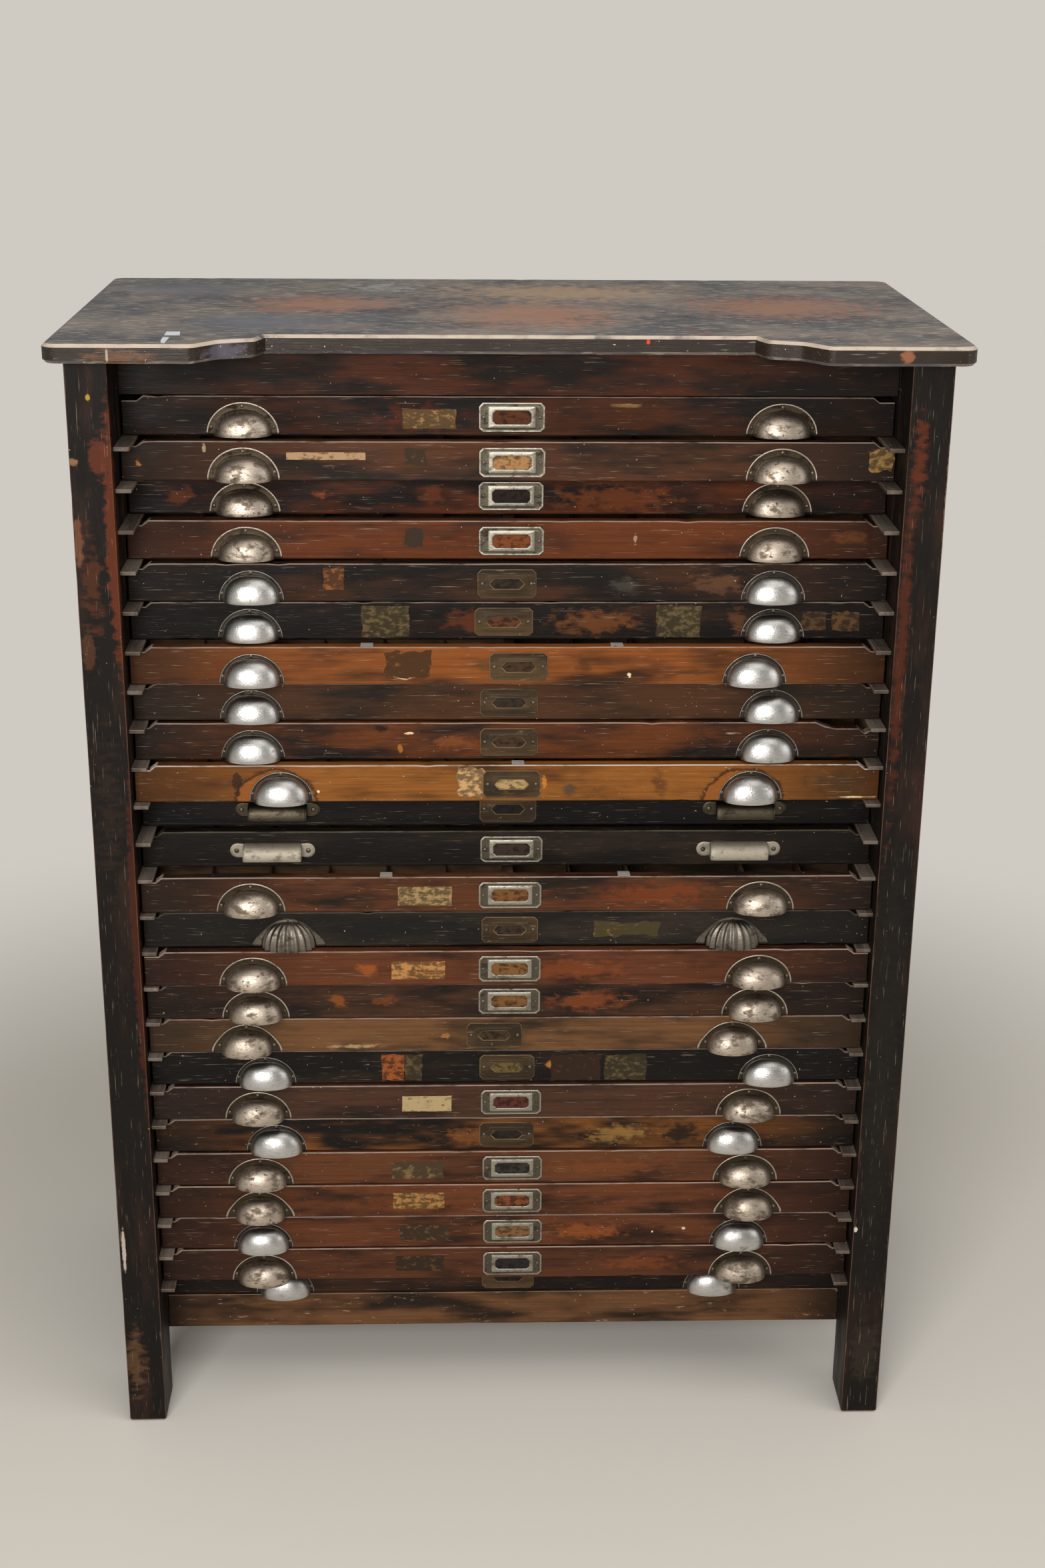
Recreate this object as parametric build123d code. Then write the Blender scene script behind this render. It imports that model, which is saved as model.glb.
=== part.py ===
from build123d import *
from math import cos, radians, sin
import os

# A printer's type case cabinet: an open-fronted rack of two framed sides, a thick
# top with a recess in its front edge, and 25 shallow cases that slide on thin
# runners. Millimetres, +Z up, the front towards -Y, origin under the middle.

# cases
CASE_COUNT = 25
CASE_WIDTH = 828.5
CASE_DEPTH = 368.0
PITCH = 44.45
FRONT_GAP = 1.25
FRONT_THICK = 14.0
SIDE_THICK = 10.0
SIDE_CLEAR_ABOVE = 3.0
CASE_BOTTOM_THICK = 3.5
BACK_THICK = 10.0
CENTRE_BAR_THICK = 12.0
DIVIDER_THICK = 3.0
DIVIDER_DROP = 6.0
LONG_DIVIDER_SHARE = 0.5
COLUMNS = 3
CORNER_CUT_SLOPE = 7.0
CORNER_CUT_CLEAR = 1.8

# fits
SIDE_CLEARANCE = 1.75
SEAT_GAP = 0.3
RAIL_GAP = 1.3
ROOM_BEHIND_CASES = 39.5
JOINT_CLEARANCE = 0.3

# runners
RUNNER_THICK = 4.5
RUNNER_PROJECTION = 17.0
RUNNER_SETBACK = 11.0

# carcase
POST_WIDTH = 44.5
POST_DEPTH = 66.0
FOOT_HEIGHT = 90.7
RAIL_HEIGHT = 46.0
RAIL_THICK = 20.0
TENON_LENGTH = 16.0
TENON_THICK = 10.0
TENON_SHOULDER_CLEAR = 3.0
PANEL_THICK = 10.0
PANEL_LAP = 9.0
MID_RAIL_HEIGHT = 60.0
BACK_BOARD_THICK = 12.0
BACK_BOARD_LAP = 14.0
BACK_BOARDS = 6
FOOT_CHAMFER = 3.0

# top
TOP_THICK = 20.5
TOP_OVERHANG = 20.0
TOP_BACK_OVERHANG = 2.0
TOP_CORNER_RADIUS = 18.0
TOP_ARRIS = 3.5
RECESS_WIDTH = 514.0
RECESS_DEPTH = 69.0
RECESS_STEP = 26.0
RECESS_SWEEP = 36.0
RECESS_HORN = 24.0
RECESS_ROUND = 12.0

# pulls and label holders: (width, height, projection)
PULL_SIZES = {
    "cup": (78.0, 35.0, 21.0),
    "small_cup": (71.0, 34.0, 20.0),
    "shell": (84.0, 34.0, 20.0),
    "hood": (96.0, 17.5, 15.5),
}
PULL_LIFT = 1.5
PULL_FLANGE = 7.5
PULL_SHEET = 1.2
PULL_SHOULDER = 0.6
PULL_SHOULDER_SCALE = 0.9
PULL_NOSE_SCALE = 0.6
PULL_SIDES = 8
HOOD_LIFT = 12.0
HOOD_GRIP = 66.0
HOOD_SHEET = 1.2
HOOD_LUG_CORNER = 5.0
HOLDER_HEIGHT = 32.0
HOLDER_BORDER = 9.0
HOLDER_THICK = 1.6
HOLDER_LIFT = 4.5
BRIGHT_HOLDER_WIDTH = 71.0
DARK_HOLDER_WIDTH = 64.0

# How each case stands in the photograph, from the top down: how far its face is
# behind the posts' front, its pulls, their places left and right of the middle,
# its label holder's width and that holder's place.
CASES = [
    (72.0, "cup", -286.0, 293.0, BRIGHT_HOLDER_WIDTH, 2.0),
    (51.0, "cup", -285.0, 292.0, BRIGHT_HOLDER_WIDTH, 2.0),
    (86.5, "cup", -288.0, 294.0, BRIGHT_HOLDER_WIDTH, 2.0),
    (63.0, "cup", -286.0, 290.0, BRIGHT_HOLDER_WIDTH, 2.0),
    (50.5, "small_cup", -281.0, 289.0, DARK_HOLDER_WIDTH, -3.0),
    (55.5, "small_cup", -284.0, 291.0, DARK_HOLDER_WIDTH, -6.0),
    (32.5, "small_cup", -282.0, 270.0, DARK_HOLDER_WIDTH, 10.0),
    (42.0, "small_cup", -284.0, 292.0, DARK_HOLDER_WIDTH, 0.0),
    (37.0, "small_cup", -284.0, 289.0, DARK_HOLDER_WIDTH, 0.0),
    (22.0, "small_cup", -253.0, 270.0, DARK_HOLDER_WIDTH, 3.0),
    (61.5, "hood", -261.0, 270.0, DARK_HOLDER_WIDTH, 0.0),
    (48.5, "hood", -267.0, 263.0, BRIGHT_HOLDER_WIDTH, 4.0),
    (20.0, "cup", -291.0, 287.0, BRIGHT_HOLDER_WIDTH, 2.0),
    (24.0, "shell", -250.0, 257.0, DARK_HOLDER_WIDTH, 2.0),
    (14.0, "cup", -291.0, 288.0, BRIGHT_HOLDER_WIDTH, 2.0),
    (21.0, "cup", -290.0, 287.0, BRIGHT_HOLDER_WIDTH, 2.0),
    (23.0, "cup", -302.0, 263.0, DARK_HOLDER_WIDTH, -15.0),
    (28.5, "small_cup", -282.0, 308.0, DARK_HOLDER_WIDTH, 0.0),
    (25.0, "cup", -292.0, 286.0, BRIGHT_HOLDER_WIDTH, 5.0),
    (28.0, "small_cup", -272.0, 269.0, DARK_HOLDER_WIDTH, 0.0),
    (26.0, "cup", -292.0, 286.0, BRIGHT_HOLDER_WIDTH, 7.0),
    (25.5, "cup", -294.0, 291.0, BRIGHT_HOLDER_WIDTH, 7.0),
    (29.0, "small_cup", -292.0, 282.0, BRIGHT_HOLDER_WIDTH, 8.0),
    (28.5, "cup", -292.0, 286.0, BRIGHT_HOLDER_WIDTH, 8.0),
    (68.0, "small_cup", -271.0, 257.0, DARK_HOLDER_WIDTH, 4.0),
]

# places worked out from the sizes above
INNER_HALF = CASE_WIDTH / 2 + SIDE_CLEARANCE
OUTER_HALF = INNER_HALF + POST_WIDTH
DEEPEST_SETBACK = max(case[0] for case in CASES)
FRAME_DEPTH = DEEPEST_SETBACK + CASE_DEPTH + ROOM_BEHIND_CASES + BACK_BOARD_THICK
TOP_WIDTH = 2 * (OUTER_HALF + TOP_OVERHANG)
TOP_DEPTH = TOP_OVERHANG + FRAME_DEPTH + TOP_BACK_OVERHANG
FRONT_Y = -TOP_DEPTH / 2 + TOP_OVERHANG
BACK_Y = FRONT_Y + FRAME_DEPTH
POST_BACK_Y = FRONT_Y + POST_DEPTH
REAR_POST_Y = BACK_Y - POST_DEPTH
RAIL_TOP_Z = FOOT_HEIGHT + RAIL_HEIGHT
STACK_Z = RAIL_TOP_Z + SEAT_GAP
FRONT_HEIGHT = PITCH - FRONT_GAP
STACK_TOP_Z = STACK_Z + (CASE_COUNT - 1) * PITCH + FRONT_HEIGHT
TOP_RAIL_Z = STACK_TOP_Z + RAIL_GAP
FRAME_TOP_Z = TOP_RAIL_Z + RAIL_HEIGHT
SIDE_TOP = PITCH - SEAT_GAP - RUNNER_THICK - SIDE_CLEAR_ABOVE
BACK_BOARD_Y = BACK_Y - BACK_BOARD_THICK
TENON_SHOULDER = PANEL_LAP + TENON_SHOULDER_CLEAR
CORNER_CUT_DEPTH = FRONT_HEIGHT - (PITCH - SEAT_GAP - RUNNER_THICK - CORNER_CUT_CLEAR)
CORNER_CUT_WIDTH = RUNNER_PROJECTION - SIDE_CLEARANCE + CORNER_CUT_CLEAR


def board(x0, x1, y0, y1, z0, z1):
    """A squared board between two corners."""
    return Pos(x0, y0, z0) * Box(x1 - x0, y1 - y0, z1 - z0, align=(Align.MIN,) * 3)


def both_sides(piece):
    """The piece and its mirror image across the cabinet's middle."""
    return [piece, mirror(piece, about=Plane.YZ)]


def save(node, solids):
    """Write one named group of separate solids."""
    export_step(Compound(children=solids), f"parts/{node}.step")


def top_outline():
    """Half of the top's plan, from the middle of the back to the middle of the front."""
    half_width = TOP_WIDTH / 2
    front = -TOP_DEPTH / 2
    back = TOP_DEPTH / 2
    step_x = RECESS_WIDTH / 2
    step_y = front + RECESS_DEPTH - RECESS_STEP
    sweep_x = step_x + RECESS_STEP / 3
    horn_x = sweep_x + RECESS_SWEEP
    horn_y = step_y - RECESS_STEP / 2
    return [
        (0, back),
        (half_width, back),
        (half_width, front),
        (horn_x + RECESS_HORN, front),
        (horn_x, horn_y),
        (sweep_x, step_y),
        (step_x, front + RECESS_DEPTH),
        (0, front + RECESS_DEPTH),
    ]


def top_board():
    """The top: rounded corners, and a recess whose ends run forward as two horns."""
    right = top_outline()
    left = [(-x, y) for x, y in reversed(right[1:-1])]
    plan = make_face(Polyline(*right, *left, close=True))
    horn_ys = [right[3][1], right[4][1], right[5][1]]
    recess_corners = [v for v in plan.vertices() if is_recess_corner(v, horn_ys)]
    plan = fillet(recess_corners, RECESS_ROUND)
    outer = [v for v in plan.vertices() if abs(abs(v.X) - TOP_WIDTH / 2) < 0.01]
    plan = fillet(outer, TOP_CORNER_RADIUS)
    slab = extrude(plan, TOP_THICK)
    level = slab.edges().filter_by(Plane.XY)
    return Pos(0, 0, FRAME_TOP_Z) * chamfer(level, TOP_ARRIS)


def is_recess_corner(vertex, levels):
    """True at the ends of the recess's sloping stretches."""
    inside = abs(vertex.X) < TOP_WIDTH / 2 - TOP_CORNER_RADIUS
    return inside and any(abs(vertex.Y - y) < 0.01 for y in levels)


def post(y0):
    """One upright, leg and all, rebated inside for the panel and its foot eased."""
    leg = board(INNER_HALF, OUTER_HALF, y0, y0 + POST_DEPTH, 0, FRAME_TOP_Z)
    foot = leg.faces().sort_by(Axis.Z)[0].edges()
    return chamfer(foot, FOOT_CHAMFER)


def panel_space(clearance):
    """The room that a side panel takes up, with a clearance all round."""
    return board(
        INNER_HALF,
        INNER_HALF + PANEL_THICK + clearance,
        POST_BACK_Y - PANEL_LAP - clearance,
        REAR_POST_Y + PANEL_LAP + clearance,
        RAIL_TOP_Z - PANEL_LAP - clearance,
        TOP_RAIL_Z + PANEL_LAP + clearance,
    )


def back_board_space(clearance):
    """The room that the back boards take up between the rear posts."""
    reach = INNER_HALF + BACK_BOARD_LAP + clearance
    top = FRAME_TOP_Z - JOINT_CLEARANCE + clearance
    return board(-reach, reach, BACK_BOARD_Y - clearance, BACK_Y, FOOT_HEIGHT - clearance, top)


def front_rail_y():
    """The front rails stand just behind the front posts."""
    return POST_BACK_Y + JOINT_CLEARANCE


def front_rail(z0, length):
    """A rail across the front, with tenons of that length at its ends."""
    y0 = front_rail_y()
    rail = board(-INNER_HALF, INNER_HALF, y0, y0 + RAIL_THICK, z0, z0 + RAIL_HEIGHT)
    return rail + tenons(y0, z0, length)


def tenons(y0, z0, length):
    """The stub tenons of a rail at y0 and z0, as one bar from end to end."""
    cheek = (RAIL_THICK - TENON_THICK) / 2
    return board(
        -INNER_HALF - length,
        INNER_HALF + length,
        y0 + cheek,
        y0 + cheek + TENON_THICK,
        z0 + TENON_SHOULDER,
        z0 + RAIL_HEIGHT - TENON_SHOULDER,
    )


def mortises(y0, z0):
    """The room for a rail's tenons, deeper and wider than they are by the clearance."""
    cheek = (RAIL_THICK - TENON_THICK) / 2 - JOINT_CLEARANCE
    reach = INNER_HALF + TENON_LENGTH + JOINT_CLEARANCE
    return board(
        -reach,
        reach,
        y0 + cheek,
        y0 + RAIL_THICK - cheek,
        z0 + TENON_SHOULDER - JOINT_CLEARANCE,
        z0 + RAIL_HEIGHT - TENON_SHOULDER + JOINT_CLEARANCE,
    )


def side_rail(z0, height):
    """One rail of a side frame, butted between the posts and rebated for the panel."""
    rail = board(INNER_HALF, OUTER_HALF, POST_BACK_Y, REAR_POST_Y, z0, z0 + height)
    rail -= panel_space(JOINT_CLEARANCE)
    rail -= mortises(front_rail_y(), z0)
    return rail - mortises(back_rail_y(), z0)


def back_rail_y():
    """The back rails stand just in front of the rear posts."""
    return REAR_POST_Y - JOINT_CLEARANCE - RAIL_THICK


def back_boards():
    """Upright boards side by side, nailed in the rebates of the rear posts."""
    space = back_board_space(0).bounding_box()
    width = (space.size.X + JOINT_CLEARANCE) / BACK_BOARDS
    boards = []
    for i in range(BACK_BOARDS):
        x0 = space.min.X + i * width
        x1 = x0 + width - JOINT_CLEARANCE
        boards.append(board(x0, x1, space.min.Y, space.max.Y, space.min.Z, space.max.Z))
    return boards


def runner(index):
    """The strip that carries case number index on one side; the lowest fits between the rails."""
    top = case_z(index) - SEAT_GAP
    y0 = FRONT_Y + RUNNER_SETBACK
    y1 = BACK_BOARD_Y - JOINT_CLEARANCE
    if index == CASE_COUNT:
        y0 = front_rail_y() + RAIL_THICK + JOINT_CLEARANCE
        y1 = back_rail_y() - JOINT_CLEARANCE
    inner = INNER_HALF - RUNNER_PROJECTION
    return board(inner, INNER_HALF, y0, y1, top - RUNNER_THICK, top)


def case_z(index):
    """Height of the underside of case number index, counted from the top."""
    return STACK_Z + (CASE_COUNT - index) * PITCH


def case_front(y0):
    """The front board: its top corners are cut away to pass the runners above."""
    half = CASE_WIDTH / 2
    shoulder = half - CORNER_CUT_WIDTH
    low = FRONT_HEIGHT - CORNER_CUT_DEPTH
    right = [(half, 0), (half, low), (shoulder, low), (shoulder - CORNER_CUT_SLOPE, FRONT_HEIGHT)]
    left = [(-x, z) for x, z in reversed(right)]
    face = Plane.XZ * make_face(Polyline(*right, *left, close=True))
    return Pos(0, y0, 0) * extrude(face, -FRONT_THICK)


def case_tray(y0):
    """One case: front, sides, back, bottom, a bar down the middle and thin dividers."""
    half = CASE_WIDTH / 2
    y1 = y0 + FRONT_THICK
    y3 = y0 + CASE_DEPTH
    y2 = y3 - BACK_THICK
    floor = CASE_BOTTOM_THICK
    inner = half - SIDE_THICK
    bar = CENTRE_BAR_THICK / 2
    solids = [case_front(y0), board(-half, half, y1, y3, 0, floor)]
    solids += both_sides(board(inner, half, y1, y3, floor, SIDE_TOP))
    solids.append(board(-inner, inner, y2, y3, floor, SIDE_TOP))
    solids.append(board(-bar, bar, y1, y2, floor, SIDE_TOP))
    for piece in dividers(bar, inner, y1, y2, floor):
        solids += both_sides(piece)
    return solids


def dividers(x0, x1, y0, y1, floor):
    """The dividers of one half: one along the case and short ones across each row."""
    top = SIDE_TOP - DIVIDER_DROP
    long_y = y0 + (y1 - y0) * LONG_DIVIDER_SHARE - DIVIDER_THICK / 2
    pieces = [board(x0, x1, long_y, long_y + DIVIDER_THICK, floor, top)]
    column = (x1 - x0 - (COLUMNS - 1) * DIVIDER_THICK) / COLUMNS
    for ya, yb in ((y0, long_y), (long_y + DIVIDER_THICK, y1)):
        for i in range(1, COLUMNS):
            x = x0 + i * column + (i - 1) * DIVIDER_THICK
            pieces.append(board(x, x + DIVIDER_THICK, ya, yb, floor, top))
    return pieces


def half_oval(width, height, y):
    """Points round an upright half oval at depth y, its flat side down."""
    step = radians(180 / PULL_SIDES)
    turns = [i * step for i in range(PULL_SIDES + 1)]
    return [(width / 2 * cos(turn), y, height * sin(turn)) for turn in turns]


def faceted_solid(rings):
    """A solid of flat faces through a row of like outlines, closed at both ends."""
    faces = [Face(Wire.make_polygon(ring)) for ring in (rings[0], rings[-1])]
    for near, far in zip(rings, rings[1:]):
        for i in range(len(near)):
            j = (i + 1) % len(near)
            faces.append(Face(Wire.make_polygon([near[i], near[j], far[j], far[i]])))
    return Solid(Shell(faces))


def cup_body(width, height, projection):
    """The bulge of a cup, closed at its flat side: it narrows to a shoulder and a nose."""
    steps = [(1, 0), (PULL_SHOULDER_SCALE, PULL_SHOULDER), (PULL_NOSE_SCALE, 1)]
    rings = [half_oval(width * k, height * k, -projection * out) for k, out in steps]
    return faceted_solid(rings)


def cup_pull(width, height, projection):
    """A pressed sheet cup on a half-round flange, open below for the fingers."""
    mouth = width - 2 * PULL_FLANGE
    rise = height - PULL_FLANGE
    thinner = 1 - 2 * PULL_SHEET / mouth
    plate = faceted_solid([half_oval(width, height, 0), half_oval(width, height, -PULL_SHEET)])
    hollow = cup_body(mouth * thinner, rise * thinner, projection - PULL_SHEET)
    return plate + cup_body(mouth, rise, projection) - hollow


def hood_body(length, height, projection):
    """The bulge of a hooded grip: it leaves the front at the top and curves down to a lip."""
    bends = [(0, 0), (1, 0), (0.96, 0.4), (0.72, 0.76), (0.35, 0.96), (0, 1)]
    outline = [(-projection * out, height * up) for out, up in bends]
    side = Plane.YZ * make_face(Polyline(*outline, close=True))
    return extrude(side, length / 2, both=True)


def hood_pull(width, height, projection):
    """A hooded grip, open below, between two lugs that are screwed to the front."""
    lugs = Rectangle(width, height, align=(Align.CENTER, Align.MIN))
    plate = extrude(Plane.XZ * chamfer(lugs.vertices(), HOOD_LUG_CORNER), HOOD_SHEET)
    hollow = hood_body(HOOD_GRIP - 2 * HOOD_SHEET, height - HOOD_SHEET, projection - HOOD_SHEET)
    hollow -= plate
    return plate + hood_body(HOOD_GRIP, height, projection) - hollow


def pull(kind):
    """The pull of one kind, standing on the line of the case's underside."""
    if kind == "hood":
        return Pos(0, 0, HOOD_LIFT) * hood_pull(*PULL_SIZES[kind])
    return Pos(0, 0, PULL_LIFT) * cup_pull(*PULL_SIZES[kind])


def label_holder(width):
    """A stamped frame for a paper label."""
    plate = board(-width / 2, width / 2, -HOLDER_THICK, 0, HOLDER_LIFT, HOLDER_LIFT + HOLDER_HEIGHT)
    inner = width / 2 - HOLDER_BORDER
    window = board(
        -inner,
        inner,
        -HOLDER_THICK,
        0,
        HOLDER_LIFT + HOLDER_BORDER,
        HOLDER_LIFT + HOLDER_HEIGHT - HOLDER_BORDER,
    )
    return plate - window


def build_carcase():
    """The fixed pieces."""
    front_post = post(FRONT_Y) - panel_space(JOINT_CLEARANCE)
    rear_post = post(REAR_POST_Y) - panel_space(JOINT_CLEARANCE) - back_board_space(JOINT_CLEARANCE)
    save("front_posts", both_sides(front_post))
    save("rear_posts", both_sides(rear_post))
    top_side_rail = side_rail(TOP_RAIL_Z, RAIL_HEIGHT)
    low_side_rail = side_rail(FOOT_HEIGHT, RAIL_HEIGHT)
    mid_z = (RAIL_TOP_Z + TOP_RAIL_Z - MID_RAIL_HEIGHT) / 2
    mid_side_rail = side_rail(mid_z, MID_RAIL_HEIGHT)
    rails = both_sides(low_side_rail) + both_sides(mid_side_rail) + both_sides(top_side_rail)
    save("side_rails", rails)
    save("side_panels", both_sides(panel_space(0)))
    save("top_front_rail", [front_rail(TOP_RAIL_Z, TENON_LENGTH)])
    save("bottom_front_rail", [front_rail(FOOT_HEIGHT, TENON_LENGTH)])
    back_shift = Pos(0, back_rail_y() - front_rail_y(), 0)
    back_rails = [back_shift * front_rail(z, TENON_LENGTH) for z in (FOOT_HEIGHT, TOP_RAIL_Z)]
    save("back_rails", back_rails)
    save("back_boards", back_boards())
    save("top_board", [top_board()])
    strips = []
    for index in range(1, CASE_COUNT + 1):
        strips += both_sides(runner(index))
    save("runners", strips)


def build_cases():
    """The cases and their fittings, each where it stands."""
    trays = case_tray(0)
    pulls = {kind: pull(kind) for kind in PULL_SIZES}
    for index, case in enumerate(CASES[:CASE_COUNT], start=1):
        setback, kind, left_x, right_x, holder_width, holder_x = case
        place = Pos(0, FRONT_Y + setback, case_z(index))
        save(f"case_{index:02d}", [place * piece for piece in trays])
        fittings = [Pos(x, 0, 0) * pulls[kind] for x in (left_x, right_x)]
        fittings.append(Pos(holder_x, 0, 0) * label_holder(holder_width))
        save(f"case_{index:02d}_fittings", [place * piece for piece in fittings])


build_carcase()
build_cases()
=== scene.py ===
from math import cos, pi, radians, sin

import bmesh
import bpy
from mathutils import Matrix, Vector, noise


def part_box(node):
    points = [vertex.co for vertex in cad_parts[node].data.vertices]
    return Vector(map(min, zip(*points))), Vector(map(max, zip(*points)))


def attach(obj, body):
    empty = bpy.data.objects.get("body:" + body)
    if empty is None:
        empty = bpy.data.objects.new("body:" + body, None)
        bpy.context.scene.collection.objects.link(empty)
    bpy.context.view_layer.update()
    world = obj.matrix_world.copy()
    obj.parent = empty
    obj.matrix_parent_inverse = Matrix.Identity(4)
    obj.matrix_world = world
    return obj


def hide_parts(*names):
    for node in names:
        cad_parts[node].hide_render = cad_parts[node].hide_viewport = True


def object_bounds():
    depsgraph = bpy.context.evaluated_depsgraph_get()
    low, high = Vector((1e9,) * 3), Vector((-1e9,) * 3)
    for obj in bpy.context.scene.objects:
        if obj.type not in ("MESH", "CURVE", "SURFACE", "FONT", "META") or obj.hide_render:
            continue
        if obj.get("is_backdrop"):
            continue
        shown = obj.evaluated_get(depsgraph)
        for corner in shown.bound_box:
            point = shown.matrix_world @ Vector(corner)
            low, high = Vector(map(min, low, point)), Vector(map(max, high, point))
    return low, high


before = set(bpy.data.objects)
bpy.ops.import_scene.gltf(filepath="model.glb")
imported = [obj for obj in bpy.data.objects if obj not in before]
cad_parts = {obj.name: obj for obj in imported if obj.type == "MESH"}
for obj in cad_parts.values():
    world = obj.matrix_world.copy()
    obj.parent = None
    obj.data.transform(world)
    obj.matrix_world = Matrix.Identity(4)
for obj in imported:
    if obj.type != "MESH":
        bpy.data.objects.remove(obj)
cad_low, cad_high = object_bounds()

# ---------------------------------------------------------------- posts
# The front posts are also the front legs: planed softwood, stained nearly black and
# rubbed through to red-brown along the arrises that hands and cases brush past.
# The rear posts are the same wood, less handled and so more evenly dark.


def linear(code):
    """The linear colour of an sRGB hex code."""
    parts = [int(code[i : i + 2], 16) / 255 for i in (1, 3, 5)]
    return [c / 12.92 if c < 0.04045 else ((c + 0.055) / 1.055) ** 2.4 for c in parts] + [1.0]


def add(tree, kind, inputs=None, **settings):
    """One shader node with its settings and its inputs, linked or set."""
    node = tree.nodes.new("ShaderNode" + kind)
    for key, value in settings.items():
        setattr(node, key, value)
    for key, value in (inputs or {}).items():
        if isinstance(value, bpy.types.NodeSocket):
            tree.links.new(value, node.inputs[key])
        else:
            node.inputs[key].default_value = value
    return node


def new_finish(name):
    """An empty material, its node tree and its shader."""
    finish = bpy.data.materials.new(name)
    finish.use_nodes = True
    tree = finish.node_tree
    tree.nodes.clear()
    shader = add(tree, "BsdfPrincipled")
    add(tree, "OutputMaterial", {"Surface": shader.outputs[0]})
    return finish, tree, shader


def cloud(tree, size, seed, low, high, detail=4.0):
    """A mask of stains that measure size millimetres along X, Y and Z."""
    place = add(tree, "TexCoord").outputs["Object"]
    scale = [1000 / s for s in size]
    spread = add(tree, "Mapping", {"Vector": place, "Location": (seed, seed * 0.7, seed * 1.3), "Scale": scale})
    pattern = add(tree, "TexNoise", {"Vector": spread.outputs[0], "Scale": 1.0, "Detail": detail, "Roughness": 0.6})
    edge = {"Value": pattern.outputs["Fac"], "From Min": low, "From Max": high}
    return add(tree, "MapRange", edge, interpolation_type="SMOOTHSTEP").outputs["Result"]


def spot(tree, centre, half, ragged=0.5, soft=0.2):
    """A mask of one stain round a place, in millimetres, with a ragged or crisp edge."""
    place = add(tree, "TexCoord").outputs["Object"]
    shift = [-c / h for c, h in zip(centre, half)]
    near = add(tree, "Mapping", {"Vector": place, "Location": shift, "Scale": [1000 / h for h in half]})
    away = add(tree, "VectorMath", {0: near.outputs[0]}, operation="LENGTH").outputs["Value"]
    wobble = cloud(tree, (14, 14, 7), centre[0] * 0.1, 0.25, 0.75)
    reach = add(tree, "Math", {0: wobble, 1: ragged, 2: away}, operation="MULTIPLY_ADD").outputs[0]
    edge = {"Value": reach, "From Min": 1.05 + soft, "From Max": 1.05 - soft}
    return add(tree, "MapRange", edge, interpolation_type="SMOOTHSTEP").outputs["Result"]


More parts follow.
